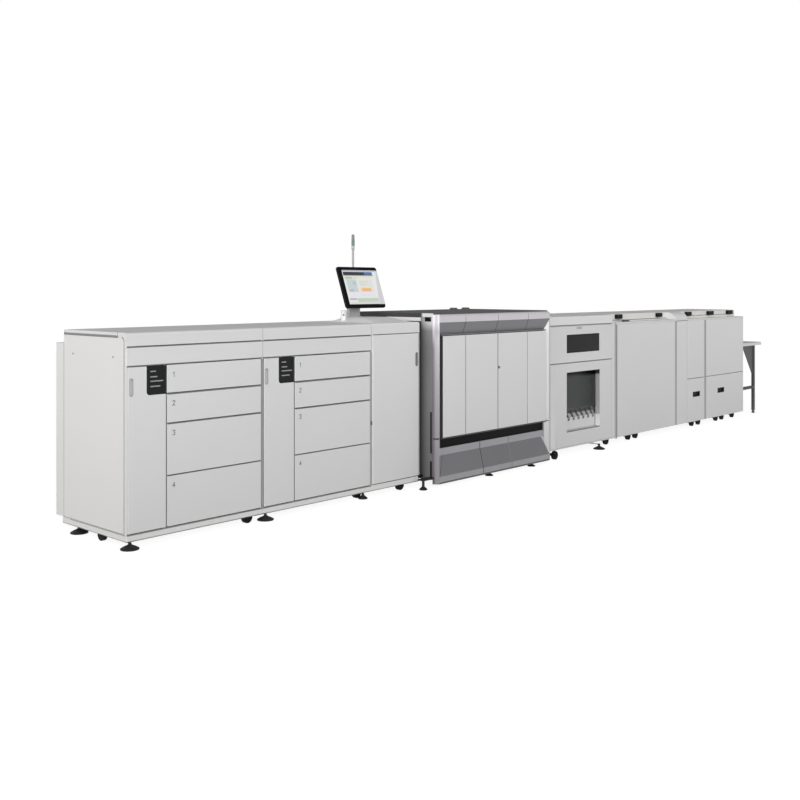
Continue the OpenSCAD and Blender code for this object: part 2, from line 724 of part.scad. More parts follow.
// Side view of a finishing housing: a low front with a ledge, and a taller body behind
function ledge_outline(y0, z0, z1) = concat(
    [[cabinet_d, z0], [cabinet_d, line_h]], arc([ledge_d + 12, line_h - 12], 12, 90, 180, 4),
    [[ledge_d, z1], [y0, z1], [y0, z0]]);
module finishing_side(x0, x1, z0 = finish_side_z) {
    along_x(x0, x1) polygon(ledge_outline(side_y, z0, ledge_z));
}
module ledge_plate(x0, x1) {
    slab([x0 + side_t + seat, 0, ledge_z - ledge_t], [x1 - side_t - seat, ledge_d - seat, ledge_z]);
}
strip_w = 55;
strip_gap = 15;
stacker_end = stacker_x + stacker_w;
stacker_door_x = [stacker_x + strip_w + strip_gap, stacker_end - side_t - gap];
ledge_door_z = [finish_front_z, ledge_z - ledge_t - gap];
finish_core_y = 60;
module stacker_cabinet() {
    at = door_axis(stacker_door_x, 0, false);
    x0 = stacker_x;
    x1 = stacker_end;
    color(shell) {
        set_back_frame(x0, x1, stacker_casters);
        hinge_tab(at);
        finishing_side(x0, x0 + side_t);
        finishing_side(x0 + side_t - 1, x0 + strip_w, finish_base_top + seat);
        slab([x0 + side_t - 1, side_y, finish_side_z], [x0 + strip_w, door_back, finish_base_top + 2]);
        finishing_side(x1 - side_t, x1);
        slab([x0 + strip_w + seat, finish_core_y, finish_base_top + seat],
             [x1 - side_t - seat, cabinet_d - seat, ledge_z - ledge_t - seat]);
        slab([x0 + strip_w + seat, 0, ledge_z - ledge_t], [x1 - side_t - seat, ledge_d - seat, ledge_z]);
        pin(at, ledge_door_z[1] - pin_len, ledge_z - 6);
        slab([x0 + strip_w + seat, ledge_d, ledge_z - ledge_t],
             [x1 - side_t - seat, cabinet_d - seat, line_h]);
        rear_cover(x0, x1, finish_base_top + seat, line_h - 75);
    }
}
module stacker_door() {
    color(shell) door_panel(stacker_door_x, ledge_door_z, 0, front_t, false);
}
bin_wall = 4;
bin_d = 420;
bin_up = 24;
bin_side_air = 16;
bin_top = split_z - gap;
bin_floor_z = finish_base_top + gap + bin_up;
cowl_w = 228;
cowl_at = [ledge_d - seat, ledge_z + seat];
cowl_r = [ledge_d - seat, line_h - ledge_z - seat];
function finisher_x(k) = k == 1 ? finisher_1_x : finisher_2_x;
function finisher_end(k) = k == 1 ? finisher_2_x : table_x;
function bin_bay(k) = [finisher_x(k) + (k == 1 ? cowl_w : side_t), finisher_end(k) - side_t];
function bin_x(k) = bin_bay(k) + [gap, -gap];
module bin_runners(x, out) {
    top = bin_floor_z - seat;
    ends = [x - out * 0.01, x + out * runner.x];
    slab([min(ends), bay_y, top - runner.y], [max(ends), cabinet_d - 20, top]);
}
module finisher_cabinet(k) {
    x0 = finisher_x(k);
    x1 = finisher_end(k);
    bay = bin_bay(k);
    color(shell) {
        set_back_frame(x0, x1, finisher_casters(k));
        finishing_side(x0, x0 + side_t);
        finishing_side(x1 - side_t, x1);
        bin_runners(bay[1], -1);
        if (k == 1)
            slab([x0 + side_t + seat, door_back, finish_base_top + seat],
                 [bay[0], cabinet_d - seat, split_z]);
        bin_runners(bay[0], 1);
        slab([x0 + side_t + seat, door_back, split_z + seat],
             [x1 - side_t - seat, cabinet_d - seat, ledge_z - ledge_t - seat]);
        ledge_plate(x0, x1);
        slab([x0 + side_t + seat, ledge_d, ledge_z - ledge_t],
             [x1 - side_t - seat, cabinet_d - seat, line_h]);
        rear_cover(x0, x1, finish_base_top + seat, line_h - 75);
    }
}
module front_panel(x, z) {
    upright(z[0], z[1]) polygon(plate([x[0], 0], [x[1], door_back - seat], [3, 3, 0, 0]));
}
module finisher_panels() {
    color(shell) {
        front_panel([finisher_1_x + side_t + gap, finisher_1_x + cowl_w], [finish_front_z, ledge_door_z[1]]);
        front_panel(bin_x(1), [split_z, ledge_door_z[1]]);
        front_panel(bin_x(2), [split_z, ledge_door_z[1]]);
        along_x(finisher_1_x + edge, finisher_1_x + cowl_w) polygon(concat(
            [cowl_at, cowl_at + [0, cowl_r.y]],
            [for (a = [100:10:180]) cowl_at + [cowl_r.x * cos(a), cowl_r.y * sin(a)]]));
    }
}
grip = [135, 42, 14];
grip_z = 308;
function grip_x(k) = k == 1 ? (bin_x(1)[0] + bin_x(1)[1]) / 2 : finisher_2_x + 339;
module finisher_bin(k) {
    x = bin_x(k);
    bay = bin_bay(k);
    box_x = [bay[0] + bin_side_air, bay[1] - bin_side_air];
    box_z = [bin_floor_z, bin_top - 40];
    back = front_t + bin_d;
    color(shell) difference() {
        upright(finish_front_z, bin_top) polygon(plate([x[0], 0], [x[1], front_t], [3, 3, 0, 0]));
        slab([grip_x(k) - grip.x / 2, -1, grip_z - grip.y / 2],
             [grip_x(k) + grip.x / 2, grip.z, grip_z + grip.y / 2]);
    }
    color(steel) {
        difference() {
            slab([box_x[0], front_t - 1, box_z[0]], [box_x[1], back, box_z[1]]);
            slab([box_x[0] + bin_wall, front_t, box_z[0] + bin_wall],
                 [box_x[1] - bin_wall, back - bin_wall, box_z[1] + 1]);
        }
        slab([box_x[0] - runner.x + 1, front_t + 50, box_z[0]], [box_x[0] + 1, back, box_z[0] + runner.y]);
        slab([box_x[1] - 1, front_t + 50, box_z[0]], [box_x[1] + runner.x - 1, back, box_z[0] + runner.y]);
    }
}
vent_x = [stacker_x + 265, stacker_x + 970, finisher_1_x + 428, finisher_2_x + 290, finisher_2_x + 726];
module vent_blocks() {
    color(black_trim) for (x = vent_x)
        upright(line_h - 48, line_h - 4)
            polygon(plate([x - 64, ledge_d - 30], [x + 64, ledge_d - seat], [8, 8, 0, 0]));
}

// ---- End table ----
leg_x = table_x + 297;
module end_table() {
    top_t = 30;
    leg = 28;
    brace_y = 18;
    under = table_h - top_t - seat;
    color(light_metal) upright(table_h - top_t, table_h)
        polygon(plate([table_x + seat, 0], [line_w, cabinet_d], [4, 14, 14, 4]));
    color(dark_trim) for (y = [brace_y, cabinet_d - brace_y - leg]) {
        slab([leg_x, y, 30], [leg_x + leg, y + leg, under]);
        translate([leg_x + leg / 2, y + leg / 2, 0]) cylinder(d1 = 34, d2 = 22, h = 31);
        slab([table_x + seat, y, 262], [leg_x - seat, y + leg, 290]);
        from_front(y + 10, y + 16) polygon([
            [table_x + 40, under], [leg_x - seat, under], [leg_x - seat, 404], [leg_x - 12, 404]]);
    }
}

// ---- Feet and casters ----
// Where each foot and caster stands
function paper_feet(i) = concat(
    [[foot_in, foot_y], [foot_in, cabinet_d - 130]],
    i == 1 ? [[paper_w - 77, foot_y]] : []);
function paper_casters(i) = concat(
    [for (at = [front_caster[i], [paper_w - 130, rear_y], [120, rear_y]]) at + [paper_x(i), 0]],
    i == 0 ? [side_caster] : []);
side_caster = [20, 262];
function is_turned(at) = at == side_caster;
front_caster = [[paper_w - 101, caster_y], [paper_w - 89, caster_y + 28]];
interface_casters = [for (y = [caster_y, rear_y]) [interface_x + 280, y]];
arm_z = [finish_gap - 8, finish_gap - seat];
arm_caster = [window_x + 116, -66];
arm_foot = [window_x + 785, -50];
window_casters = concat(
    [[window_x + 1030, finish_caster_y]], [for (x = [110, 1000]) [window_x + x, rear_y]]);
stacker_casters = [for (x = [314, 437]) for (y = [finish_caster_y, rear_y]) [stacker_x + x, y]];
function finisher_casters(k) = k == 1
    ? [for (x = [380, 514]) for (y = [finish_caster_y, rear_y]) [finisher_1_x + x, y]]
    : [for (x = [299, 431, 667]) for (y = [finish_caster_y, rear_y]) [finisher_2_x + x, y]];
module foot(at, stem_top, d = pad_d) {
    cone = min(26, stem_top - 4);
    translate([at.x, at.y, 0]) rotate_extrude() polygon([
        [0, 0], [d / 2, 0], [d / 2, 0.2 * cone], [0.36 * d, 0.5 * cone], [0.18 * d, 0.8 * cone],
        [stem_r, cone], [stem_r, stem_top], [0, stem_top]]);
}
// Wheel with its fork behind it; turned casters roll along the line
module caster(at, top, turned = false) {
    r = wheel_d / 2;
    translate([at.x, at.y, 0]) rotate([0, 0, turned ? -90 : 0]) {
        translate([0, 0, r]) rotate([90, 0, 0]) cylinder(r = r, h = 22, center = true);
        slab([-12, -13, r - 6], [12, 38, r + 6]);
        slab([-26, 18, r + 5], [26, 38, top]);
    }
}
// Arm that carries a foot or a wheel in front of a finishing cabinet
module outrigger(at, from_y) {
    slab([at.x - 12, from_y, arm_z[0]], [at.x + 12, frame_y + 50, arm_z[1]]);
}
module leveling_feet() {
    color(black_trim) {
        for (i = [0, 1]) for (at = paper_feet(i))
            foot(at + [paper_x(i), 0], floor_gap, at.x > foot_in ? 60 : pad_d);
        foot([engine_x - 95, -96], 60, 54);
        slab([engine_x - 110, -110, 59], [engine_x - 6, -62, 68]);
        slab([engine_x - 7, -86, 59], [engine_x + housing_in - seat, -62, 68]);
        for (x = [600, 1110]) foot([engine_x + x, rim_y + 32], kick_z[0], 60);
        for (x = [300, 1030]) foot([engine_x + x, engine_back - 80], 60);
        foot(arm_foot, arm_z[1]);
        outrigger(arm_foot, arm_foot.y);
        foot([window_x + 785, rear_y], finish_gap);
        foot([stacker_x + 60, rear_y], finish_gap);
    }
}
module casters() {
    feed = floor_top - base_skin;
    finish = finish_base_top - base_skin;
    color(black_trim) {
        for (i = [0, 1]) for (at = paper_casters(i)) caster(at, feed, is_turned(at));
        for (at = interface_casters) caster(at, feed);
        caster(arm_caster, arm_z[1]);
        outrigger(arm_caster, arm_caster.y + 20);
        for (at = concat(window_casters, stacker_casters, finisher_casters(1), finisher_casters(2)))
            caster(at, finish);
    }
}

row() {
    paper_cabinet(0);  // paper_1_cabinet
    paper_covers(0);  // paper_1_covers
    paper_door_panel(0);  // paper_1_door
    paper_display(0);  // paper_1_display
    paper_tray(0, 0);  // paper_1_tray_1
    paper_tray(0, 1);  // paper_1_tray_2
    paper_tray(0, 2);  // paper_1_tray_3
    paper_tray(0, 3);  // paper_1_tray_4
    paper_cabinet(1);  // paper_2_cabinet
    paper_covers(1);  // paper_2_covers
    paper_door_panel(1);  // paper_2_door
    paper_display(1);  // paper_2_display
    paper_tray(1, 0);  // paper_2_tray_1
    paper_tray(1, 1);  // paper_2_tray_2
    paper_tray(1, 2);  // paper_2_tray_3
    paper_tray(1, 3);  // paper_2_tray_4
    interface_cabinet();
    interface_cover();
    interface_door();
    monitor_stand();
    monitor();
    signal_lamp();
    engine_housing();
    engine_surround();
    engine_bevels();
    engine_end_panels();
    engine_door(left_door_x, false);  // engine_left_door
    engine_door(mirrored(left_door_x), true);  // engine_right_door
    window_cabinet();
    window_front();
    upper_window();
    window_door();
    window_pane();
    comb_tray();
    stacker_cabinet();
    stacker_door();
    finisher_cabinet(1);  // finisher_1_cabinet
    finisher_cabinet(2);  // finisher_2_cabinet
    finisher_panels();
    finisher_bin(1);  // finisher_1_bin
    finisher_bin(2);  // finisher_2_bin
    vent_blocks();
    end_table();
    leveling_feet();
    casters();
}
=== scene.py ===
"""Looks for the digital production printer: finishes, lamps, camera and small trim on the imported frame.

Places along the line are written in millimetres from the first cabinet's front left corner, as in the source;
at() turns them into the frame's metres.
"""
import json
import math

import bmesh
import bpy
from mathutils import Euler, Matrix, Vector

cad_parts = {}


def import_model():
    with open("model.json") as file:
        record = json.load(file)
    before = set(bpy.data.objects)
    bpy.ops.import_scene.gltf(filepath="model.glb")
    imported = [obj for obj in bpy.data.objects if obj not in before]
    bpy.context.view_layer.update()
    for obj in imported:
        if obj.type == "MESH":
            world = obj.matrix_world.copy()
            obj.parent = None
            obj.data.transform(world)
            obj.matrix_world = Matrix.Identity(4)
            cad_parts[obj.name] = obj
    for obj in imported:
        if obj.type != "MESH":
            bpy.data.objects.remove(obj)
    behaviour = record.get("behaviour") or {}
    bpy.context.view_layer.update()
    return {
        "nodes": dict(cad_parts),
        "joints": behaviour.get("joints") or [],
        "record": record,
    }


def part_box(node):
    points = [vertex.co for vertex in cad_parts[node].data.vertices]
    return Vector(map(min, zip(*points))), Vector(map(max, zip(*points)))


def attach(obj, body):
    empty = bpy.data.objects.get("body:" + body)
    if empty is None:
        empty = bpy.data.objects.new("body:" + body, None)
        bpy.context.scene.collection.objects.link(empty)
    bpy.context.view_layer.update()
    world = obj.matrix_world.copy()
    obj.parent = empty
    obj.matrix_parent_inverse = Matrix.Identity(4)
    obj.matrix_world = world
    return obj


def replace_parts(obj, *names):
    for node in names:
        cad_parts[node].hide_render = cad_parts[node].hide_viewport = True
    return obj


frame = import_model()
NODES = frame["nodes"]

LINE_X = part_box("paper_1_cabinet")[0][0]
LINE_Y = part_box("paper_1_tray_1")[0][1]


def at(x, y, z):
    """A place along the line, in millimetres, as a point of the frame in metres."""
    return Vector((LINE_X + x / 1000, LINE_Y + y / 1000, z / 1000))


def on_line(node):
    """A node's box in millimetres along the line."""
    lo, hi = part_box(node)
    return ([(v - o) * 1000 for v, o in zip(lo, (LINE_X, LINE_Y, 0))],
            [(v - o) * 1000 for v, o in zip(hi, (LINE_X, LINE_Y, 0))])


# ---- Finishes ----


def srgb(r, g, b):
    """Linear colour of an 8-bit sRGB one."""
    def linear(v):
        v /= 255
        return v / 12.92 if v <= 0.04045 else ((v + 0.055) / 1.055) ** 2.4
    return (linear(r), linear(g), linear(b), 1.0)


def grey(v):
    return srgb(v, v, v)


def shade(colour, k):
    """A colour times a factor."""
    return tuple(min(1.0, c * k) for c in colour[:3]) + (1.0,)


class Graph:
    """Small helper that builds a finish's node graph from object coordinates."""

    def __init__(self, name):
        self.material = bpy.data.materials.new(name)
        self.material.use_nodes = True
        self.nodes = self.material.node_tree.nodes
        self.link = self.material.node_tree.links.new
        self.bsdf = self.nodes["Principled BSDF"]
        self.coords = self.nodes.new("ShaderNodeTexCoord").outputs["Object"]
        split = self.nodes.new("ShaderNodeSeparateXYZ")
        self.link(self.coords, split.inputs[0])
        self.axis = {"x": split.outputs[0], "y": split.outputs[1], "z": split.outputs[2]}

    def math(self, operation, a, b):
        node = self.nodes.new("ShaderNodeMath")
        node.operation = operation
        for socket, value in zip(node.inputs, (a, b)):
            if isinstance(value, (int, float)):
                socket.default_value = value
            else:
                self.link(value, socket)
        return node.outputs[0]

    def span(self, value, lo, hi, to=(0.0, 1.0), smooth=True):
        node = self.nodes.new("ShaderNodeMapRange")
        node.interpolation_type = "SMOOTHSTEP" if smooth else "LINEAR"
        self.link(value, node.inputs["Value"])
        for key, v in (("From Min", lo), ("From Max", hi), ("To Min", to[0]), ("To Max", to[1])):
            node.inputs[key].default_value = v
        return node.outputs["Result"]

    def noise(self, scale, detail=3):
        node = self.nodes.new("ShaderNodeTexNoise")
        node.inputs["Scale"].default_value = scale
        node.inputs["Detail"].default_value = detail
        self.link(self.coords, node.inputs["Vector"])
        return node.outputs["Fac"]

    def ramp(self, fac, stops):
        node = self.nodes.new("ShaderNodeValToRGB")
        points = node.color_ramp.elements
        while len(points) < len(stops):
            points.new(0.5)
        for point, (position, colour) in zip(points, stops):
            point.position = position
            point.color = colour
        self.link(fac, node.inputs["Fac"])
        return node.outputs["Color"]

    def mix(self, kind, fac, a, b):
        node = self.nodes.new("ShaderNodeMix")
        node.data_type = "RGBA"
        node.blend_type = kind
        for socket, value in ((node.inputs[0], fac), (node.inputs[6], a), (node.inputs[7], b)):
            if isinstance(value, (int, float, tuple)):
                socket.default_value = value
            else:
                self.link(value, socket)
        return node.outputs[2]

    def inside(self, x=None, y=None, z=None, soft=0.0):
        """Mask that is 1 between the given limits, in millimetres along the line."""
        mask = None
        for name, limits, origin in (("x", x, LINE_X), ("y", y, LINE_Y), ("z", z, 0.0)):
            width = soft.get(name, 0.0) if isinstance(soft, dict) else soft
            for edge, sign in zip(limits or (), (1, -1)):
                if edge is None:
                    continue
                e, s = origin + edge / 1000, max(width, 0.02) / 1000
                step = self.span(self.axis[name], e - s * sign, e + s * sign)
                mask = step if mask is None else self.math("MULTIPLY", mask, step)
        return mask

    def facing(self, axis, sign, least=0.6):
        """Mask that is 1 where the real face looks along an axis."""
        geometry = self.nodes.new("ShaderNodeNewGeometry")
        split = self.nodes.new("ShaderNodeSeparateXYZ")
        self.link(geometry.outputs["True Normal"], split.inputs[0])
        value = split.outputs["xyz".index(axis)]
        lo, hi = sorted((least * sign, (least + 0.1) * sign))
        return self.span(value, lo, hi, (0.0, 1.0) if sign > 0 else (1.0, 0.0))


PATCH = 1.5             # scale of the broad tone variation
CREVICE_REACH = 0.02    # metres that the painted crevice shade reaches out of a crevice


def finish(name, colour, rough=0.42, metallic=0.0, spread=0.012, grain=900.0, bump=0.03, coat=0.0,
           specular=0.5, crevice=0.75, marks=(), painted_shading=()):
    """A base colour with a broad tone variation, painted shading along axes, marks over parts of it, painted
    shade in its crevices and a fine grain. Marks are (colour, limits) and the painted shading is (axis, ((mm,
    factor), ...), limits)."""
    g = Graph(name)
    tone = g.ramp(g.noise(PATCH, 4),
                  [(0.3, shade(colour, 1 - spread)), (0.7, shade(colour, 1 + spread))])
    # Painted shading: each ramp multiplies the colour along an axis
    for axis, stops, limits in painted_shading:
        lo, hi = stops[0][0], stops[-1][0]
        origin = {"x": LINE_X, "y": LINE_Y, "z": 0.0}[axis]
        fac = g.span(g.axis[axis], origin + lo / 1000, origin + hi / 1000, smooth=False)
        factor = g.ramp(fac, [((mm - lo) / (hi - lo), k if isinstance(k, tuple) else (k, k, k, 1))
                              for mm, k in stops])
        tone = g.mix("MULTIPLY", g.inside(**limits) if limits else 1.0, tone, factor)
    for mark, limits in marks:
        limits = dict(limits)
        facing = limits.pop("facing", None)
        mask = g.inside(**limits) if limits else None
        if facing:
            side = g.facing(*facing)
            mask = side if mask is None else g.math("MULTIPLY", mask, side)
        tone = g.mix("MIX", mask, tone, mark)
    # Painted shade: darker where nearby faces hem the surface in
    if crevice:
        occlusion = g.nodes.new("ShaderNodeAmbientOcclusion")
        occlusion.samples = 12
        occlusion.inputs["Distance"].default_value = CREVICE_REACH
        crevice_shade = g.span(occlusion.outputs["AO"], 0.05, 0.62, (1 - crevice, 1.0))
        tone = g.mix("MULTIPLY", 1.0, tone, g.ramp(crevice_shade, [(0.0, (0, 0, 0, 1)), (1.0, (1, 1, 1, 1))]))
    g.link(tone, g.bsdf.inputs["Base Color"])
    fine = g.noise(grain, 2)
    g.link(g.span(fine, 0.0, 1.0, (max(0.02, rough - 0.05), min(1.0, rough + 0.05)), smooth=False),
           g.bsdf.inputs["Roughness"])
    if bump:
        relief = g.nodes.new("ShaderNodeBump")
        relief.inputs["Strength"].default_value = bump
        relief.inputs["Distance"].default_value = 0.001
        g.link(fine, relief.inputs["Height"])
        g.link(relief.outputs["Normal"], g.bsdf.inputs["Normal"])
    g.bsdf.inputs["Metallic"].default_value = metallic
    g.bsdf.inputs["Coat Weight"].default_value = coat
    g.bsdf.inputs["Specular IOR Level"].default_value = specular
    return g.material


# ---- Places along the line, in millimetres ----


def span_x(node):
    """Where a node starts and ends along the line."""
    lo, hi = on_line(node)
    return lo[0], hi[0]


def front_of(node):
    return on_line(node)[0][1]


def heights(node):
    lo, hi = on_line(node)
    return lo[2], hi[2]


PAPER_W = span_x("paper_2_cabinet")[0]
FEED_END, INTERFACE_END = span_x("interface_cabinet")
FRONT_LOW, FRONT_HIGH = heights("paper_1_door")
ENGINE_LEFT, ENGINE_RIGHT = span_x("engine_surround")
ENGINE_MIDDLE = (ENGINE_LEFT + ENGINE_RIGHT) / 2
ENGINE_FRONT = front_of("engine_surround")
PANELS_LEFT = span_x("engine_end_panels")[0]
DOOR_FACE = front_of("engine_right_door")
WINDOW_LEFT, WINDOW_RIGHT = span_x("window_cabinet")
STACKER_LEFT, STACKER_RIGHT = span_x("stacker_cabinet")
STACKER_DOOR_LEFT, STACKER_DOOR_RIGHT = span_x("stacker_door")
FINISHER_SPLIT, FINISHER_END = span_x("finisher_2_cabinet")
OPENING_RIGHT = span_x("window_pane")[1]
OPENING_TOP = heights("window_pane")[1]
LINE_TOP = heights("paper_1_covers")[1]
LAMP_TOP = heights("signal_lamp")[1]
TABLE_TOP = heights("end_table")[1]
SLEEVE = 25.6                                   # width of the pillars' rounded front
BEVEL_INSET = 62                                # from the engine's ends to its dark bevels
KICK_TOP, KICK_SPLIT, KICK_LIP = 254, 204, 73   # heights of the kick's upper band, slope and lip
SIDE_PLATE = 6.6                                # from the engine's left end to its housing's side

# ---- Finishes of the nodes ----

# Painted shade: fronts and sides darker towards the bottom, and fronts darker towards the line's left end
DOOR_SHADE = ("z", ((50, 0.83), (600, 0.94), (1000, 1.0)), None)
SIDE_SHADE = ("z", ((70, 0.88), (600, 0.97), (1000, 1.0)), None)
LENGTH_SHADE = ("x", ((0, 0.95), (5000, 0.96), (7257, 1.0)), None)


def handle_slot_shade():
    """Painted shade in the handle slots: the place of each slot's middle, across and up, and its grey."""
    half_w, half_h = 13.6, 48
    return [(grey(tone), dict(x=(x - half_w, x + half_w), y=(0.6, 13), z=(z - half_h, z + half_h)))
            for x, z, tone in ((29, 820, 183), (PAPER_W + 29, 820, 183), (INTERFACE_END - 29, 852, 132))]


def opening_wall_shading():
    """Tones up the right wall of the opening in the window module's door: painted shade on the wall above the
    comb, painted light beside the comb and a painted shadow under the opening's top.
    """
    wall = dict(x=(OPENING_RIGHT - 1.7, OPENING_RIGHT + 2.3), y=(1, 44))
    comb_top, sill, shadow = 276, 175, 612
    return [(grey(172), dict(wall, z=(comb_top, 656))), (grey(224), dict(wall, z=(sill, comb_top))),
            (grey(50), dict(wall, z=(shadow, 656)))]


# Painted shade on the stacker door's left edge, in the gap beside it
STACKER_GAP_SHADE = dict(x=(STACKER_DOOR_LEFT - 0.5, STACKER_DOOR_LEFT + 0.5), y=(0.8, 60), z=(50, 1020))
PAINT = finish("pale_grey_powder_coat", grey(219), rough=0.46, painted_shading=[DOOR_SHADE, LENGTH_SHADE],
               marks=handle_slot_shade() + opening_wall_shading() + [(grey(70), STACKER_GAP_SHADE)])

# The plinths' lower edge is painted darker where it faces down: painted shade
CABINET = finish("cabinet_powder_coat", srgb(216, 215, 213), rough=0.46, painted_shading=[SIDE_SHADE],
                 marks=[(grey(140), dict(z=(31, 40), soft=1.5))])

# The interface module's upward faces are painted paler: painted light
MOULD = finish("pale_grey_moulding", grey(213), rough=0.5, grain=1400, bump=0.05, marks=[
    (grey(228), dict(x=(FEED_END, INTERFACE_END + 1), facing=("z", 1))),
    (grey(222), dict(x=(WINDOW_LEFT - 10, WINDOW_RIGHT + 5), z=(1026, 1098)))])

# The end panel's left edge stands in a narrow gap, with painted shade: dark in its middle, paler at the front
# and at the back
PANEL = finish("outer_panel_powder_coat", grey(216), rough=0.46, specular=0.3, painted_shading=[DOOR_SHADE], marks=[
    (grey(tone), dict(x=(PANELS_LEFT - 1, PANELS_LEFT + 0.6), y=depth, facing=("x", -1)))
    for tone, depth in ((84, (-131, -119)), (46, (-119, -107)), (110, (-107, None)))])


def silver_lacquer():
    """Silver of the engine's surround with painted highlight and shade: the left pillar is dark below, pale
    above and darker round its sides, and the right pillar is darker lower down.
    """
    left = dict(x=(ENGINE_LEFT - 1, ENGINE_LEFT + 25.5))
    right = dict(x=(ENGINE_RIGHT - 70, ENGINE_RIGHT + 1))
    between = (ENGINE_LEFT + SLEEVE, ENGINE_RIGHT - SLEEVE)
    up_the_left = (
        (200, (0.25, 0.24, 0.25, 1)), (700, (0.375, 0.365, 0.375, 1)), (930, (0.48, 0.465, 0.48, 1)),
        (1040, (0.66, 0.64, 0.66, 1)), (1100, (1, 1, 1, 1)))
    round_the_left = ((-134, 0.88), (-119, 1.0), (-113, 0.97), (-104, 0.66), (-94, 0.5))
    round_its_head = ((-134, 0.66), (-113, 0.66), (-104, 1.0), (-94, 1.0))
    return finish(
        "silver_lacquer", srgb(226, 222, 226), rough=0.38, metallic=0.2, spread=0.015, coat=0.15,
        painted_shading=[
            ("z", up_the_left, left),
            ("y", round_the_left, dict(left, z=(None, 975), soft={"z": 65})),
            ("y", round_its_head, dict(left, z=(1000, None), soft={"z": 50})),
            ("z", ((1000, 0.84), (1100, 0.84)), dict(x=(between[0], ENGINE_RIGHT + 1))),
            ("z", ((200, 0.62), (430, 0.80), (960, 0.86), (1060, 1.0)), right)],
        # Painted shade on the kick's upper band and lip, and along the right pillar's nose
        marks=[
            (srgb(126, 125, 128), dict(x=(between[0], ENGINE_LEFT + 95), z=(KICK_LIP, KICK_SPLIT))),
            (srgb(146, 146, 150),
             dict(x=(ENGINE_LEFT + BEVEL_INSET, ENGINE_RIGHT - BEVEL_INSET), z=(KICK_SPLIT + 1, KICK_TOP))),
            (srgb(142, 142, 145), dict(x=between, z=(30, KICK_LIP))),
            (grey(150), dict(x=(ENGINE_RIGHT - 32, ENGINE_RIGHT + 1), y=(-135, -120), z=(0, 1090)))])


def housing_paint():
    """Dark paint of the engine's body, with the pale strip, black block and black slots on its left side.
    Painted shade makes the strip darker lower down and further back, and takes the dark paint near black in
    the recess under the doors.
    """
    strip = dict(x=(ENGINE_LEFT, ENGINE_LEFT + 5.9))
    recess = dict(y=(-135, -90))
    up_the_front = ((150, 0.23), (600, 0.29), (940, 0.30), (1040, 0.37), (1075, 0.7), (1100, 1.0))
    return finish(
        "dark_housing_paint", grey(215), rough=0.45, spread=0.06, specular=0.1, crevice=0.4,
        painted_shading=[
            ("z", up_the_front, dict(y=(None, 12))),
            ("z", ((940, 0.27), (1100, 0.27)), dict(y=(12, None))),
            ("y", ((-92, 1.0), (-40, 0.78), (20, 0.3)), dict(x=(ENGINE_LEFT, ENGINE_LEFT + 7)))],
        marks=[
            (grey(88), dict(x=(ENGINE_LEFT + SIDE_PLATE, None))),
            (grey(130), dict(recess, x=(ENGINE_LEFT + 60, ENGINE_RIGHT - 60), z=(1002, 1018))),
            (grey(4), dict(recess, x=(ENGINE_LEFT + 7, None), z=(240, 317.5))),
            (grey(14), dict(x=(ENGINE_LEFT - 1, ENGINE_LEFT + 5.9), y=(-76, -25), z=(1102, 1133))),
            (grey(40), dict(strip, y=(-84, -69), z=(225, 510))),
            (grey(8), dict(strip, y=(-88, -66), z=(60, 172)))])


SILVER = silver_lacquer()
# Painted shade: the anthracite trim is darker lower down and darkest along its bottom edge
DARK_TRIM = finish(
    "anthracite_lacquer", srgb(120, 120, 123), rough=0.36, metallic=0.1, spread=0.03,
    painted_shading=[("z", ((260, 0.91), (1000, 1.0)), None)], marks=[(grey(70), dict(z=(0, 34)))])
HOUSING = housing_paint()
BLACK = finish("black_plastic", grey(14), rough=0.42, spread=0.08, specular=0.12)
RUBBER = finish("caster_rubber", grey(12), rough=0.62, spread=0.12, grain=500, bump=0.12, specular=0.12)

# The window module's outrigger arm is pale, its stem and pad are iron
ARM = dict(x=(4372, 4398), y=(-41, 60), z=(35.5, 44.2))
IRON = finish("foot_iron", grey(36), rough=0.5, metallic=0.2, spread=0.1, grain=350, bump=0.2, specular=0.25,
              marks=[(grey(214), ARM)])
STAND = finish("stand_grey_paint", grey(172), rough=0.42, spread=0.03)


def smoked_acrylic():
    """Black acrylic with a slightly paler field inside its border."""
    lo, hi = on_line("upper_window")
    field = dict(x=(lo[0] + 14, hi[0] - 14), z=(lo[2] + 12, hi[2] - 12), soft=2)
    return finish("smoked_acrylic", grey(16), rough=0.14, spread=0.05, bump=0, specular=0.12,
                  marks=[(grey(27), field)])


def clear_pane():
    """Clear glass under a painted shadow band, which is deeper towards the right."""
    g = Graph("clear_pane")
    g.link(g.span(g.noise(3), 0.0, 1.0, (0.02, 0.06)), g.bsdf.inputs["Roughness"])
    band = g.inside(z=(622, None), soft=6)
    deeper = g.inside(x=(4230, None), z=(607, None), soft={"x": 60, "z": 6})
    tint = g.mix("MIX", g.math("MAXIMUM", band, deeper), srgb(124, 126, 125), grey(4))
    g.link(tint, g.bsdf.inputs["Base Color"])
    g.bsdf.inputs["Alpha"].default_value = 0.12
    g.bsdf.inputs["Specular IOR Level"].default_value = 0.1
    return g.material


# The comb's teeth are painted with light and shade: pale faces, and dark flanks, upper ends and slots between
# them
COMB = finish("comb_tray_moulding", grey(200), rough=0.45, spread=0.02, marks=[
    (grey(70), dict(z=(262.5, 266), facing=("z", 1))),
    (grey(100), dict(z=(266, 400), facing=("x", -1))),
    (grey(163), dict(z=(275, 306), facing=("y", -1))),
    (grey(78), dict(z=(306, 400)))])

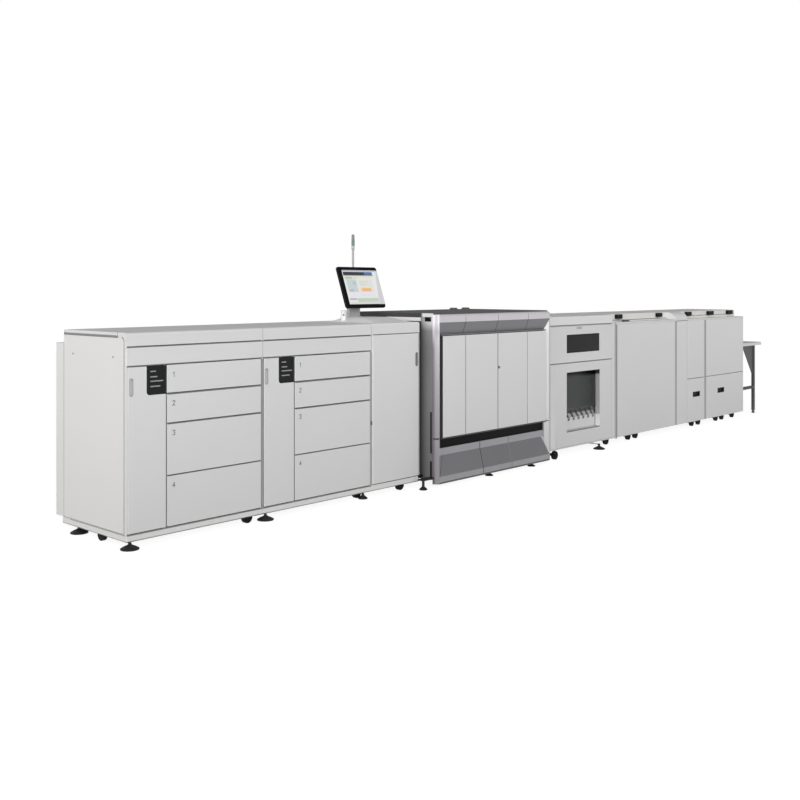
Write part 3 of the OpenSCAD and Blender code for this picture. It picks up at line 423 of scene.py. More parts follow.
# Signal lamp: grey cap, green lens and pale ring above the pole
POLE = finish("signal_lamp_body", grey(202), rough=0.35, spread=0.03, specular=0.3, marks=[
    (grey(168), dict(z=(None, LAMP_TOP - 94))),
    (srgb(122, 126, 124), dict(z=(LAMP_TOP - 33, None))),
    (srgb(104, 126, 116), dict(z=(LAMP_TOP - 81, LAMP_TOP - 34))),
    (srgb(170, 188, 180), dict(z=(LAMP_TOP - 93, LAMP_TOP - 82)))])

# The table's legs and gussets are darker than its top, and the braces beside the line are nearly black
TABLE_THICKNESS = 30.2
TABLE = finish("table_laminate_and_legs", grey(212), rough=0.42, spread=0.02, marks=[
    (grey(70), dict(z=(None, TABLE_TOP - TABLE_THICKNESS))),
    (grey(30), dict(x=(None, 7550), z=(240, 330)))])


def display_gloss():
    """Dark glass with four pale lines: each has a length and a distance from the display's top."""
    marks = []
    for node in ("paper_1_display", "paper_2_display"):
        left, top = span_x(node)[0] + 22, heights(node)[1]
        for length, down in ((34, 28), (42, 56), (78, 79), (60, 106)):
            marks.append((grey(150), dict(x=(left, left + length), z=(top - down - 3, top - down + 3))))
    return finish("display_gloss", srgb(24, 28, 25), rough=0.14, spread=0.05, bump=0, specular=0.15,
                  crevice=0, marks=marks)


FINISH = {
    "cabinet": CABINET, "covers": MOULD, "fronts": PAINT, "display": display_gloss(), "frame_paint": SILVER,
    "dark_trim": DARK_TRIM, "housing": HOUSING, "stand": STAND, "bezel": BLACK, "lamp": POLE,
    "dark_window": smoked_acrylic(), "pane": clear_pane(), "comb": COMB, "vents": BLACK, "table": TABLE,
    "feet": IRON, "casters": RUBBER,
}
for row in frame["record"]["subparts"]:
    node = NODES[row["node"]]
    look = PANEL if row["node"] == "engine_end_panels" else FINISH[row["material_slot"]]
    for i in range(len(node.data.materials)):
        node.data.materials[i] = look

# ---- Finishes of the small pieces ----
INK = finish("numeral_ink", grey(120), rough=0.6, spread=0.05, bump=0, crevice=0)
SCREW = finish("screw_nickel", grey(150), rough=0.3, metallic=0.8, spread=0.05)
# The cavity's back has a painted shadow under the opening's top
CAVITY = finish("cavity_grey", srgb(42, 44, 44), rough=0.5, spread=0.06, specular=0.3, crevice=0,
                marks=[(grey(8), dict(z=(600, 700), soft=6))])
JAMB = finish("jamb_moulding", grey(150), rough=0.45, spread=0.03, crevice=0)
LOCK = finish("lock_black", grey(50), rough=0.35, spread=0.05, crevice=0)
LINES = {v: finish(f"shadow_line_{v}", grey(v), rough=0.7, spread=0.03, bump=0, specular=0.1, crevice=0)
         for v in (80, 105, 120, 135, 150, 165, 178)}

# ---- Small pieces ----


def piece(name, verts, faces, look, body, smooth=False):
    """A mesh in the frame's metres that rides on a body."""
    mesh = bpy.data.meshes.new(name)
    mesh.from_pydata([tuple(v) for v in verts], [], faces)
    mesh.materials.append(look)
    for face in mesh.polygons:
        face.use_smooth = smooth
    obj = bpy.data.objects.new(name, mesh)
    bpy.context.scene.collection.objects.link(obj)
    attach(obj, body)
    return obj


def rounded_block(name, lo, hi, r, look, body, slot):
    """A block between two places with rounded edges."""
    bm = bmesh.new()
    bmesh.ops.create_cube(bm, size=1.0)
    size = [(b - a) / 1000 for a, b in zip(lo, hi)]
    middle = at(*[(a + b) / 2 for a, b in zip(lo, hi)])
    for v in bm.verts:
        v.co = Vector((v.co.x * size[0], v.co.y * size[1], v.co.z * size[2]))
    bmesh.ops.bevel(bm, geom=bm.edges[:], offset=r / 1000, segments=2, affect="EDGES", profile=0.5)
    verts = [v.co + middle for v in bm.verts]
    bm.verts.index_update()
    faces = [[v.index for v in f.verts] for f in bm.faces]
    bm.free()
    return piece(name, verts, faces, look, body)


def turned(name, profile, place, towards, look, body, steps=24):
    """A piece of revolution: profile is (radius, height) in millimetres along towards."""
    base = Vector(towards).to_track_quat("Z", "Y").to_matrix()
    verts, faces = [], []
    for r, h in profile:
        for i in range(steps):
            a = 2 * math.pi * i / steps
            verts.append(at(*place) + base @ Vector((r * math.cos(a), r * math.sin(a), h)) / 1000)
    for j in range(len(profile) - 1):
        for i in range(steps):
            k = (i + 1) % steps
            faces.append([j * steps + i, j * steps + k, (j + 1) * steps + k, (j + 1) * steps + i])
    faces.append(list(range((len(profile) - 1) * steps, len(profile) * steps)))
    return piece(name, verts, faces, look, body, smooth=True)


def ribbon(name, strokes, width, place, size, look, body):
    """Flat strokes on a front: each stroke is a list of points between 0 and 1, across and up."""
    verts, faces = [], []
    for stroke in strokes:
        points = [Vector((u * size[0], v * size[1])) for u, v in stroke]
        for a, b in zip(points, points[1:]):
            along = (b - a).normalized() * width / 2
            side = Vector((-along.y, along.x))
            base = len(verts)
            for p in (a - along - side, b + along - side, b + along + side, a - along + side):
                verts.append(at(place[0] + p.x, place[1], place[2] + p.y))
            faces.append([base, base + 1, base + 2, base + 3])
    return piece(name, verts, faces, look, body)


def bar(name, path, normal, width, tone, body="root", slot="cabinet"):
    """A thin inlaid bar along places on a surface: a shadow line between panels."""
    n = Vector(normal).normalized()
    points = [at(*p) for p in path]
    verts, faces = [], []
    for i, p in enumerate(points):
        along = (points[min(i + 1, len(points) - 1)] - points[max(i - 1, 0)]).normalized()
        side = along.cross(n) * width / 2000
        verts += [p - side - n * 0.0004, p + side - n * 0.0004, p + side * 0.9 + n * 0.0003,
                  p - side * 0.9 + n * 0.0003]
    for i in range(len(points) - 1):
        for k in range(4):
            j = (k + 1) % 4
            faces.append([4 * i + k, 4 * i + j, 4 * i + 4 + j, 4 * i + 4 + k])
    faces += [[3, 2, 1, 0], [len(verts) - 4 + k for k in range(4)]]
    return piece(name, verts, faces, LINES[tone], body)


def prism(outline, x0, x1):
    """Vertices and faces of an outline in the y-z plane, in millimetres, between two places along x."""
    n = len(outline)
    verts = [(x, y, z) for x in (x0, x1) for y, z in outline]
    faces = [[i, (i + 1) % n, n + (i + 1) % n, n + i] for i in range(n)]
    return verts, faces + [list(range(n))[::-1], list(range(n, 2 * n))]


# Tray numerals
DIGITS = {
    1: [[(0.25, 0.78), (0.6, 1), (0.6, 0)]],
    2: [[(0, 0.85), (0.3, 1), (0.75, 1), (1, 0.75), (0, 0), (1, 0)]],
    3: [[(0, 1), (1, 1), (0.5, 0.6), (0.95, 0.4), (0.9, 0.1), (0.5, 0), (0, 0.1)]],
    4: [[(0.7, 0), (0.7, 1), (0, 0.3), (1, 0.3)]],
}
DIGIT_SIZE = (15, 24)
DIGIT_STROKE = 4.2
for module in (1, 2):
    for k in DIGITS:
        tray = f"paper_{module}_tray_{k}"
        place = (span_x(tray)[0] + 33, front_of(tray) - 0.3, heights(tray)[1] - 63)
        ribbon(f"numeral_{module}_{k}", DIGITS[k], DIGIT_STROKE, place, DIGIT_SIZE, INK, tray)

# ---- Shadow lines of the joints ----
FRONT, SIDE = (0, -1, 0), (-1, 0, 0)
BEVEL, SLOPE = (0, -79, -30), (0, -133, 34)     # outward directions of the engine's bevels
BASE_SEAM, FINISHING_BASE = 68.3, 60            # heights of the seams over the plinths
DECK_SEAM, LID_SEAM = 930.9, 1024               # heights of the seams under the decks and lids
REAR = on_line("paper_1_covers")[1][1]


def across(name, x0, x1, z, width, tone, y=0, **on):
    """A level line on a front."""
    bar(name, [(x0, y, z), (x1, y, z)], FRONT, width, tone, **on)


def upright(name, x, z0, z1, width, tone, y=0, **on):
    """An upright line on a front."""
    bar(name, [(x, y, z0), (x, y, z1)], FRONT, width, tone, **on)


def side_lines():
    """Seams on the line's left side; the groove runs up the front and turns back under the lid."""
    x, y, turn, radius = 4, 22, 1051, 25
    arc = [math.radians(15 * i) for i in range(1, 7)]
    groove = [(x, y, 74), (x, y, turn)] + [
        (x, y + radius - radius * math.cos(a), turn + 0.5 + radius * math.sin(a)) for a in arc]
    bar("side_lid_seam", [(0, 85, 1079), (0, REAR - 1, 1079)], SIDE, 12, 135)
    bar("side_lid_joint", [(1, 84.5, 1080), (1, 84.5, LINE_TOP - 1)], SIDE, 5, 150)
    bar("side_groove", groove, SIDE, 10, 150)
    bar("side_rear_seam", [(0, REAR - 0.5, 74), (0, REAR - 0.5, LID_SEAM)], SIDE, 7, 178)
    bar("side_base_seam", [(0, 6, BASE_SEAM), (0, 560, BASE_SEAM)], SIDE, 4.5, 150)


def feed_lines():
    """Seams across the paper modules and the joints on both sides of the second one."""
    across("feed_base_seam", 4, FEED_END - 3, BASE_SEAM, 5, 120)
    across("feed_lid_seam", 3, FEED_END - 3, LID_SEAM, 4, 135)
    across("feed_fascia_seam", 4, FEED_END - 4, DECK_SEAM, 3.6, 135)
    upright("joint_1", PAPER_W, 72, FRONT_HIGH, 12, 150, y=3)
    upright("joint_1_top", PAPER_W, 934, 1021, 4, 178)
    upright("joint_1_lid", PAPER_W, 1032, 1085, 4, 178)
    upright("joint_2", FEED_END, 72, FRONT_HIGH, 12, 165, y=3)


def window_lines():
    """Seams round the window module's panels and the faint shadow of the engine beside them."""
    left, door_left = WINDOW_LEFT + 3, span_x("window_door")[0]
    door_low, door_top = 52, heights("window_door")[1] - 1
    across("window_lid_seam", left, WINDOW_RIGHT - 10, LID_SEAM - 1, 8.5, 165)
    across("window_split_seam", left, WINDOW_RIGHT - 7, 730, 3.5, 150)
    upright("window_joint", door_left - 5.1, door_low, door_top, 3.6, 178)
    across("window_base_line", left, door_left - 7.5, FINISHING_BASE, 4, 165)
    upright("dock_shadow", WINDOW_LEFT + 152, 64, door_top, 12, 178)


def finishing_lines():
    """Joints between the finishing modules and the foot of the cover behind their ledge."""
    low, top = 52, 1014
    upright("joint_4", STACKER_LEFT + 47, low + 1, 1030, 15, 178)
    upright("joint_5", STACKER_RIGHT, low, top, 38, 165)
    upright("joint_6", FINISHER_SPLIT, low, top, 42, 165)
    for i, (x0, x1, z) in enumerate(((STACKER_LEFT + 62, STACKER_RIGHT - 6, 1046),
                                     (STACKER_RIGHT + 232, FINISHER_SPLIT - 6, 1057),
                                     (FINISHER_SPLIT + 6, FINISHER_END - 7, 1057)), 1):
        across(f"ledge_line_{i}", x0, x1, z, 8, 135, y=100)


def engine_lines():
    """Joints of the engine's band, bevels and kick, and the pale edges of its doors."""
    door_seam, bevel_back, kick_back = 301.5, -104, -100
    frame_slot, bevel_slot = dict(slot="frame_paint"), dict(slot="dark_trim")
    for i, x in enumerate((ENGINE_LEFT + door_seam, ENGINE_MIDDLE, ENGINE_RIGHT - door_seam)):
        upright(f"band_joint_{i}", x, 1098, 1136, 8, 165, y=ENGINE_FRONT, **frame_slot)
        slope = [(x, ENGINE_FRONT, 1096.5), (x, bevel_back, 1017)]
        bar(f"bevel_joint_{i}", slope, BEVEL, 6, 80, **bevel_slot)
    kick_joints = ((ENGINE_MIDDLE - 169, 80, 80), (ENGINE_MIDDLE + 162, 135, 120))
    for i, (x, tone, edge_tone) in enumerate(kick_joints):
        slope = [(x, kick_back, KICK_SPLIT + 1), (x, ENGINE_FRONT + 0.3, KICK_LIP)]
        upright(f"kick_joint_{i}", x, KICK_SPLIT + 3, KICK_TOP - 2, 8, edge_tone, y=kick_back,
                **frame_slot)
        bar(f"kick_slope_{i}", slope, SLOPE, 8, tone, **bevel_slot)
        upright(f"kick_lip_{i}", x, 36, KICK_LIP - 2, 8, edge_tone, y=ENGINE_FRONT, **frame_slot)
    for name, x, door in (("left", span_x("engine_left_door")[0] + 2.4, "engine_left_door"),
                          ("middle", ENGINE_MIDDLE - 4.4, "engine_left_door"),
                          ("right", ENGINE_MIDDLE + 4.4, "engine_right_door")):
        upright(f"door_edge_{name}", x, 330, 1003, 3.6, 165, y=DOOR_FACE, body=door, slot="fronts")


def tray_lines():
    """Painted shadow lines along the trays' upper edges and along the edge of each paper module's door."""
    for module in (1, 2):
        for k, (width, tone) in ((2, (6.4, 120)), (3, (5, 120)), (4, (2.6, 135))):
            tray = f"paper_{module}_tray_{k}"
            x0, x1 = span_x(tray)
            z = heights(tray)[1] - width / 2
            across(f"tray_top_shadow_{module}_{k}", x0 + 2, x1 - 2, z, width, tone, body=tray, slot="fronts")
        door = f"paper_{module}_door"
        upright(f"paper_door_edge_{module}", span_x(door)[1] - 1.7, FRONT_LOW + 2, 772, 3, 150, body=door,
                slot="fronts")


def door_lines():
    """Lines that ride on the stacker's and the window module's doors."""
    on_window_door = dict(body="window_door", slot="fronts")
    left, right = span_x("window_door")
    upright("stacker_door_edge", STACKER_DOOR_LEFT + 4.5, 53, 1014, 7, 165, body="stacker_door",
            slot="fronts")
    across("window_door_base_line", left + 4.5, right - 2, FINISHING_BASE, 4, 165, **on_window_door)
    across("window_sill_shadow", span_x("window_pane")[0] + 0.7, OPENING_RIGHT - 0.7, 176, 8, 105,
           **on_window_door)


side_lines()
feed_lines()
window_lines()
finishing_lines()
engine_lines()
tray_lines()
door_lines()

# ---- Stops, seals, locks and screws ----


def stops_and_seals():
    """Strips that close the gaps beside the first door, beside the stacker's door and under the ledge; the
    dark one beside the stacker's door is a painted shadow.
    """
    on = ("root", "cabinet")
    rounded_block("door_stop", (6.4, 1.5, FRONT_LOW + 1), (10.3, 12, FRONT_HIGH - 1), 0.8, PAINT, *on)
    # A dark strip in the gap beside the stacker's door: a painted shadow
    rounded_block("stacker_gap_shadow", (STACKER_DOOR_LEFT - 14.7, 1.2, 53), (STACKER_DOOR_LEFT - 1, 14, 1016), 1,
                  LINES[135], *on)
    for i, (x0, x1) in enumerate(((STACKER_DOOR_LEFT - 13, STACKER_DOOR_RIGHT),
                                  (STACKER_RIGHT + 234, FINISHER_SPLIT - 7),
                                  (FINISHER_SPLIT + 7, FINISHER_END - 7)), 1):
        rounded_block(f"ledge_seal_{i}", (x0, 0.4, 1016.5), (x1, 3.4, 1020.7), 0.6, PAINT, *on)


def locks_and_screws():
    """The engine door's round lock and the two screws on the line's left side."""
    turned("door_lock", [(10, 0), (10, 1.2), (8, 2.0), (3, 2.0), (2.4, 0.8), (0.5, 0.8)],
           (span_x("engine_right_door")[0] + 10, DOOR_FACE, 763), FRONT, LOCK, "engine_right_door")
    for y in (126, 531):
        turned(f"side_screw_{y}", [(6, 0), (5.6, 1.4), (4.2, 2.2), (2.0, 2.2), (1.4, 1.2), (0.4, 1.2)],
               (0, y, 972), SIDE, SCREW, "root")


def latches_and_bumpers():
    """Small blocks: latches, the bumper between the modules, the skirt under the engine and a stop."""
    for name, lo, hi, r, look, slot in (
            ("upper_panel_lock", (4128, -1.4, 994), (4206, 0.4, 1013), 0.8, LINES[178], "covers"),
            ("tray_latch", (FEED_END - 5, -1.4, 456), (FEED_END + 5, 0.6, 480), 0.8, LOCK, "cabinet"),
            ("dock_bumper", (INTERFACE_END - 17, -3, 57), (ENGINE_LEFT + 6, 40, 74.5), 3, BLACK, "housing"),
            ("housing_skirt", (ENGINE_LEFT + 7, -75, 46), (ENGINE_LEFT + 40, 250, 61), 2, HOUSING, "housing"),
            ("lid_stop", (INTERFACE_END - 1, 326, LINE_TOP + 0.2), (INTERFACE_END + 21, 382, 1122), 3, JAMB,
             "stand"),
            ("ledge_latch", (4930, 34, 1033.2), (5020, 58, 1046), 3, LOCK, "stand")):
        rounded_block(name, lo, hi, r, look, "root", slot)


def knob_lens():
    """The dark lens in the knob on the interface module, turned to the left front."""
    knob_x, knob_y, knob_r = 1921, 415, 13.6
    turned("knob_lens", [(6, 0), (5.6, 1.2), (4, 2), (1, 2.2)], (knob_x - knob_r, knob_y - knob_r, 1146),
           (-1, -1, 0), LOCK, "root")


stops_and_seals()
locks_and_screws()
latches_and_bumpers()
knob_lens()

# ---- Grips, ledge blocks and comb ----


def grip_cup(module, x, y):
    """A moulded cup with a rim in a bin's grip, round a middle on the bin's front."""
    half_w, half_h, z = 67.2, 20.7, 308
    # Each ring is how much wider than the cup it is, and how deep behind the front
    rings = [(4, 0.0), (3.4, -1.4), (-0.6, -1.4), (-2, 4), (-4, 13.4)]
    verts, faces = [], []
    for more, deep in rings:
        verts += [at(x + s * (half_w + more), y + deep, z + t * (half_h + more))
                  for s, t in ((-1, -1), (1, -1), (1, 1), (-1, 1))]
    for j in range(len(rings) - 1):
        for i in range(4):
            k = (i + 1) % 4
            faces.append([4 * j + i, 4 * j + k, 4 * j + 4 + k, 4 * j + 4 + i])
    faces.append([4 * len(rings) - 4 + i for i in range(4)])
    piece(f"grip_cup_{module}", verts, faces, BLACK, f"finisher_{module}_bin")


def ledge_blocks():
    """Dark blocks along the ledge: a chamfered outline from above, a little shorter than their places."""
    lo, hi = on_line("vent_blocks")
    y0, y1, chamfer = lo[1], hi[1], 8
    levels = (lo[2] + 7, hi[2])
    verts, faces = [], []
    # Each block is a place along the line and how far it reaches before and after it
    for x, before, after in ((4945, 64, 26), (5650, 54, 32), (6228, 64, 34), (6684, 62, 50), (7120, 62, 50)):
        left, right = x - before, x + after
        outline = [(left, y1), (left, y0 + chamfer), (left + chamfer, y0),
                   (right - chamfer, y0), (right, y0 + chamfer), (right, y1)]
        base = len(verts)
        verts += [at(u, v, z) for z in levels for u, v in outline]
        faces += [[base + i, base + (i + 1) % 6, base + 6 + (i + 1) % 6, base + 6 + i] for i in range(6)]
        faces += [[base + i for i in range(6)][::-1], [base + 6 + i for i in range(6)]]
    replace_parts(piece("ledge_blocks", verts, faces, BLACK, "root"), "vent_blocks")


def comb_slots():
    """Painted shadows run a little way down the comb's front below its slots."""
    count = 7
    x0, x1 = span_x("comb_tray")
    y = front_of("comb_tray")
    for k in range(count):
        x = x0 + (k + 0.5) * (x1 - x0) / count
        bar(f"comb_slot_shadow_{k}", [(x, y, 272), (x + 6, y, 252)], FRONT, 32, 105, slot="comb")


def window_recess():
    """Dark back, sides and top behind the opening in the window module's door."""
    x0, x1 = span_x("window_pane")
    z0, z1 = heights("window_pane")[0] - 4, OPENING_TOP
    lo, hi = on_line("comb_tray")
    front, back, wall = lo[1] + 1, hi[1], 12
    side_back, top = back - 3.1, z1 + wall
    on = ("root", "dark_window")
    rounded_block("recess_back", (x0 - wall, back - 3, z0), (x1 + wall, back, top), 0.8, CAVITY, *on)
    for name, a, b in (("left", x0 - wall, x0 - 0.5), ("right", x1 + 0.5, x1 + wall)):
        rounded_block(f"recess_{name}", (a, front, z0), (b, side_back, top), 0.8, BLACK, *on)
    rounded_block("recess_top", (x0 - 0.4, front, z1 + 1), (x1 + 0.4, side_back, top), 0.8, BLACK, *on)


bin_1, bin_2 = span_x("finisher_1_bin"), span_x("finisher_2_bin")
grip_cup(1, sum(bin_1) / 2, front_of("finisher_1_bin"))
grip_cup(2, bin_2[0] + 328, front_of("finisher_2_bin"))
ledge_blocks()
comb_slots()
window_recess()

# ---- Screen ----
# Millimetres of the upright screen, seen from the pivot of its tilt
LEAN = Matrix.Rotation(math.radians(-20), 4, "X")
PIVOT = Vector(next(j for j in frame["joints"] if j["name"] == "screen_tilt")["pos_m"])
SCREEN_W, SCREEN_H, SCREEN_LOW, SCREEN_FACE = 379, 295, -88, -50


def lit(name, colour):
    """Self-lit screen colour, with a slight variation between its pixels."""
    g = Graph(name)
    tone = g.ramp(g.noise(300, 1), [(0.3, shade(colour, 0.97)), (0.7, shade(colour, 1.03))])
    g.link(tone, g.bsdf.inputs["Emission Color"])
    g.bsdf.inputs["Emission Strength"].default_value = 1.0
    g.bsdf.inputs["Base Color"].default_value = (0.01, 0.01, 0.012, 1)
    g.bsdf.inputs["Roughness"].default_value = 0.4
    return g.material


def leaned(x, y, z):
    """A place beside the screen's pivot, in millimetres of the upright screen, as it leans."""
    return PIVOT + LEAN @ (Vector((x, y, z)) / 1000)


def lug_outline(r, back, steps=12):
    arc = [math.pi * i / steps for i in range(steps + 1)]
    return [(r * math.sin(a), -r * math.cos(a)) for a in arc] + [(back, r), (back, -r)]


def screen_housing():
    """A slim housing with rounded corners, a raised back and the lug that carries it."""
    middle, steps = SCREEN_LOW + SCREEN_H / 2, 6
    verts, faces = [], []
    # Each ring is an inset from the screen's outline, a corner radius and a depth
    rings = [(3, 13, SCREEN_FACE), (0, 16, -47.6), (0, 16, -37), (2, 15, -35.2), (26, 12, -34),
             (52, 12, -19), (56, 10, -17)]
    for inset, r, y in rings:
        w, h = SCREEN_W / 2 - inset, SCREEN_H / 2 - inset
        corners = ((w - r, h - r, 0), (r - w, h - r, 90), (r - w, r - h, 180), (w - r, r - h, 270))
        for cx, cz, start in corners:
            for i in range(steps + 1):
                a = math.radians(start + 90 * i / steps)
                verts.append(leaned(cx + r * math.cos(a), y, middle + cz + r * math.sin(a)))
    n = 4 * (steps + 1)
    for j in range(len(rings) - 1):
        for i in range(n):
            k = (i + 1) % n
            faces.append([j * n + i, j * n + k, (j + 1) * n + k, (j + 1) * n + i])
    faces += [list(range(n))[::-1], list(range((len(rings) - 1) * n, len(rings) * n))]
    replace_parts(piece("screen_housing", verts, faces, BLACK, "screen"), "monitor")
    verts, faces = prism(lug_outline(13.8, -17.4), -19.8, 19.8)
    piece("screen_lug", [leaned(*v) for v in verts], faces, BLACK, "screen")


def screen_stand():
    """A column behind the screen with two cheeks that reach forward to the pivot."""
    x, y, z = [(v - o) * 1000 for v, o in zip(PIVOT, (LINE_X, LINE_Y, 0))]
    foot = z - 132
    parts = [prism([(y + 38, foot), (y + 66, foot), (y + 66, z + 4), (y + 38, z + 4)], x - 52, x + 48),
             prism([(y + 20, foot), (y + 82, foot), (y + 82, foot + 5), (y + 20, foot + 5)], x - 60, x + 56)]
    cheek = [(y + 39, z - 28), (y + 39, z + 4), (y, z + 10)] + [
        (y - 10 * math.sin(math.radians(a)), z + 10 * math.cos(math.radians(a))) for a in range(15, 181, 15)]
    parts += [prism(cheek[::-1], x - 46, x - 21), prism(cheek[::-1], x + 21, x + 44)]
    verts, faces = [], []
    for v, f in parts:
        faces += [[i + len(verts) for i in face] for face in f]
        verts += [at(*p) for p in v]
    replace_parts(piece("screen_stand", verts, faces, STAND, "root"), "monitor_stand")


def on_screen(u, v, lift):
    return leaned((u - 0.5) * SCREEN_W, SCREEN_FACE - lift, SCREEN_LOW + SCREEN_H * (1 - v))


screen_housing()
screen_stand()
# Areas of the screen's picture, drawn in turn: a name, an 8-bit colour and a place between 0 and 1, across
# and down. A place is either two corners of a rectangle or a list of corners.
SCREEN_AREAS = [
    ("ground", (226, 227, 226), [(0.10, 0.082), (0.95, 0.082), (0.95, 0.915), (0.10, 0.915)]),
    ("glare", (204, 204, 207), [(0.945, 0.09), (0.997, 0.09), (0.997, 0.92), (0.845, 0.92), (0.895, 0.5)]),
    ("status_strip", (172, 170, 184), (0.105, 0.086, 0.94, 0.114)),
    ("menu_bar", (46, 46, 60), (0.115, 0.125, 0.49, 0.205)),
    ("menu_bar_2", (32, 58, 62), (0.49, 0.125, 0.645, 0.205)),
    ("menu_bar_3", (88, 108, 160), (0.645, 0.125, 0.85, 0.205)),
    ("clock", (205, 232, 232), (0.86, 0.12, 0.945, 0.20)),
    ("bar_edge", (150, 152, 160), (0.11, 0.206, 0.86, 0.224)),
    ("tab_left", (186, 197, 160), (0.135, 0.24, 0.315, 0.30)),
    ("tab_middle", (206, 216, 196), (0.325, 0.24, 0.44, 0.30)),
    ("tab_right", (224, 222, 198), (0.45, 0.235, 0.82, 0.29)),
    ("queue", (196, 206, 206), (0.155, 0.31, 0.40, 0.62)),
    ("queue_tile", (178, 187, 187), (0.19, 0.55, 0.29, 0.605)),
    ("queue_tile_2", (184, 192, 192), (0.30, 0.36, 0.385, 0.44)),
    ("job", (219, 221, 217), (0.43, 0.31, 0.80, 0.62)),
    ("job_line", (205, 208, 203), (0.46, 0.36, 0.70, 0.385)),
    ("job_line_2", (205, 208, 203), (0.46, 0.42, 0.64, 0.445)),
    ("button_edge", (238, 214, 186), (0.46, 0.508, 0.765, 0.62)),
    ("button", (235, 180, 122), (0.49, 0.527, 0.725, 0.602)),
    ("tray_row", (226, 223, 235), (0.17, 0.635, 0.80, 0.745)),
    ("tray_row_2", (228, 216, 216), (0.43, 0.69, 0.78, 0.715)),
    ("status_row", (188, 206, 184), (0.32, 0.768, 0.85, 0.86)),
    ("status_row_2", (184, 180, 178), (0.13, 0.768, 0.31, 0.815)),
    ("foot_row", (212, 212, 211), (0.13, 0.865, 0.84, 0.912)),
]
FIRST_LAYER, LAYER = 0.3, 0.02                  # millimetres of each area above the glass and the last one
for i, (name, colour, area) in enumerate(SCREEN_AREAS):
    if not isinstance(area, list):
        u0, v0, u1, v1 = area
        area = [(u0, v0), (u1, v0), (u1, v1), (u0, v1)]
    level = FIRST_LAYER + LAYER * i
    piece(f"screen_{name}", [on_screen(u, v, level) for u, v in reversed(area)], [list(range(len(area)))],
          lit(f"screen_{name}", srgb(*colour)), "screen")

# ---- Stage, lamps and camera ----


def stage_floor():
    """A pale floor that glows to the camera and in reflections, and keeps the object's shadow."""
    mesh = bpy.data.meshes.new("floor")
    r = 60
    mesh.from_pydata([(-r, -r, 0), (r, -r, 0), (r, r, 0), (-r, r, 0)], [], [(0, 1, 2, 3)])
    floor = bpy.data.objects.new("floor", mesh)
    bpy.context.scene.collection.objects.link(floor)
    g = Graph("pale_floor")
    g.bsdf.inputs["Base Color"].default_value = (0.3, 0.3, 0.3, 1)     # lights the object from below
    g.bsdf.inputs["Roughness"].default_value = 0.9
    g.bsdf.inputs["Specular IOR Level"].default_value = 0.0
    faint = g.nodes.new("ShaderNodeBsdfDiffuse")
    faint.inputs["Color"].default_value = (0.2, 0.2, 0.2, 1)           # carries the shadow
    glow = g.nodes.new("ShaderNodeEmission")
    glow.inputs["Strength"].default_value = 0.9
    seen = g.nodes.new("ShaderNodeAddShader")
    g.link(faint.outputs[0], seen.inputs[0])
    g.link(glow.outputs[0], seen.inputs[1])
    path = g.nodes.new("ShaderNodeLightPath")
    direct = g.math("MAXIMUM", path.outputs["Is Camera Ray"], path.outputs["Is Glossy Ray"])
    mix = g.nodes.new("ShaderNodeMixShader")
    g.link(direct, mix.inputs["Fac"])
    g.link(g.bsdf.outputs[0], mix.inputs[1])
    g.link(seen.outputs[0], mix.inputs[2])
    g.link(mix.outputs[0], g.nodes["Material Output"].inputs["Surface"])
    mesh.materials.append(g.material)


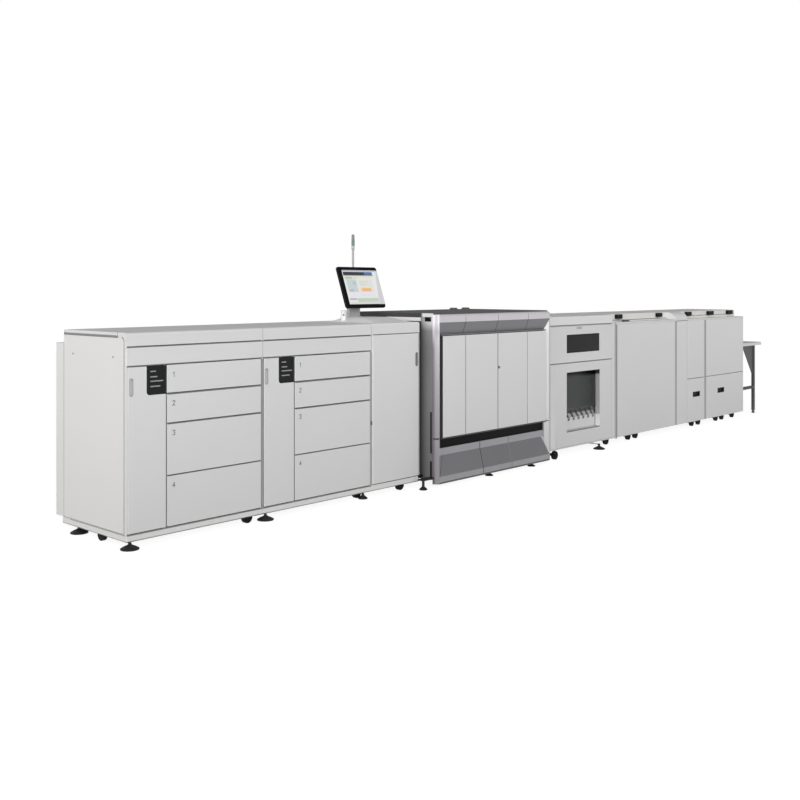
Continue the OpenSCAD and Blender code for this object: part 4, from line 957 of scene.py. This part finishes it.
def world():
    """Soft studio light: brightest from the left at the horizon, dimmer from above and from the right."""
    w = bpy.data.worlds.new("studio")
    bpy.context.scene.world = w
    w.use_nodes = True
    nodes, link = w.node_tree.nodes, w.node_tree.links.new
    nodes.clear()
    coords = nodes.new("ShaderNodeTexCoord")
    split = nodes.new("ShaderNodeSeparateXYZ")
    link(coords.outputs["Generated"], split.inputs[0])

    def span(axis, lo, hi, a, b):
        node = nodes.new("ShaderNodeMapRange")
        for key, v in (("From Min", lo), ("From Max", hi), ("To Min", a), ("To Max", b)):
            node.inputs[key].default_value = v
        link(split.outputs[axis], node.inputs["Value"])
        return node.outputs["Result"]

    level = nodes.new("ShaderNodeMath")
    level.operation = "MULTIPLY"
    link(span("Z", 0.0, 0.9, 0.68, 0.26), level.inputs[0])
    link(span("X", -1.0, 1.0, 1.15, 0.45), level.inputs[1])
    soft = nodes.new("ShaderNodeBackground")
    soft.inputs["Color"].default_value = (1, 1, 1, 1)
    link(level.outputs[0], soft.inputs["Strength"])
    white = nodes.new("ShaderNodeBackground")
    white.inputs["Color"].default_value = (1, 1, 1, 1)
    white.inputs["Strength"].default_value = 1.0
    path = nodes.new("ShaderNodeLightPath")
    direct = nodes.new("ShaderNodeMath")
    direct.operation = "MAXIMUM"
    link(path.outputs["Is Camera Ray"], direct.inputs[0])
    link(path.outputs["Is Transmission Ray"], direct.inputs[1])
    mix = nodes.new("ShaderNodeMixShader")
    link(direct.outputs[0], mix.inputs["Fac"])
    link(soft.outputs[0], mix.inputs[1])
    link(white.outputs[0], mix.inputs[2])
    out = nodes.new("ShaderNodeOutputWorld")
    link(mix.outputs[0], out.inputs["Surface"])


def sun(name, strength, towards, angle):
    """A sun that shines along a direction, soft over an angle in degrees."""
    data = bpy.data.lights.new(name, "SUN")
    data.energy = strength
    data.angle = math.radians(angle)
    lamp = bpy.data.objects.new(name, data)
    lamp.rotation_mode = "QUATERNION"
    lamp.rotation_quaternion = Vector(towards).to_track_quat("-Z", "Y")
    bpy.context.scene.collection.objects.link(lamp)


def softbox(name, power, place, target, size):
    """A round area lamp that shines from a place at a target, both in the frame's metres."""
    data = bpy.data.lights.new(name, "AREA")
    data.energy = power
    data.shape = "DISK"
    data.size = size
    lamp = bpy.data.objects.new(name, data)
    lamp.location = place
    lamp.rotation_mode = "QUATERNION"
    lamp.rotation_quaternion = (Vector(target) - Vector(place)).to_track_quat("-Z", "Y")
    bpy.context.scene.collection.objects.link(lamp)


stage_floor()
world()
sun("key", 1.5, (0.42, 0.86, -0.28), 40)            # lights the fronts
sun("side_fill", 1.38, (0.97, 0.2, -0.15), 50)      # lights the left sides
sun("rear_fill", 1.1, (0.05, -1.0, -0.05), 50)      # lights the back only
softbox("front_left", 290, (-9.0, -9.0, 2.5), (-2.0, 0.0, 0.8), 4.0)

# The camera stands level at eye height, in front of the line's left end; the shift lifts the object
EYE = (-6.601, -4.7655, 1.33)
HEADING = -47.0
camera_data = bpy.data.cameras.new("camera")
camera_data.sensor_width = 36
camera_data.lens = 45
camera_data.shift_y = -0.1405
camera = bpy.data.objects.new("camera", camera_data)
camera.location = EYE
camera.rotation_euler = Euler((math.radians(90), 0, math.radians(HEADING)))
bpy.context.scene.collection.objects.link(camera)
bpy.context.scene.camera = camera
bpy.context.scene.view_settings.view_transform = "Standard"
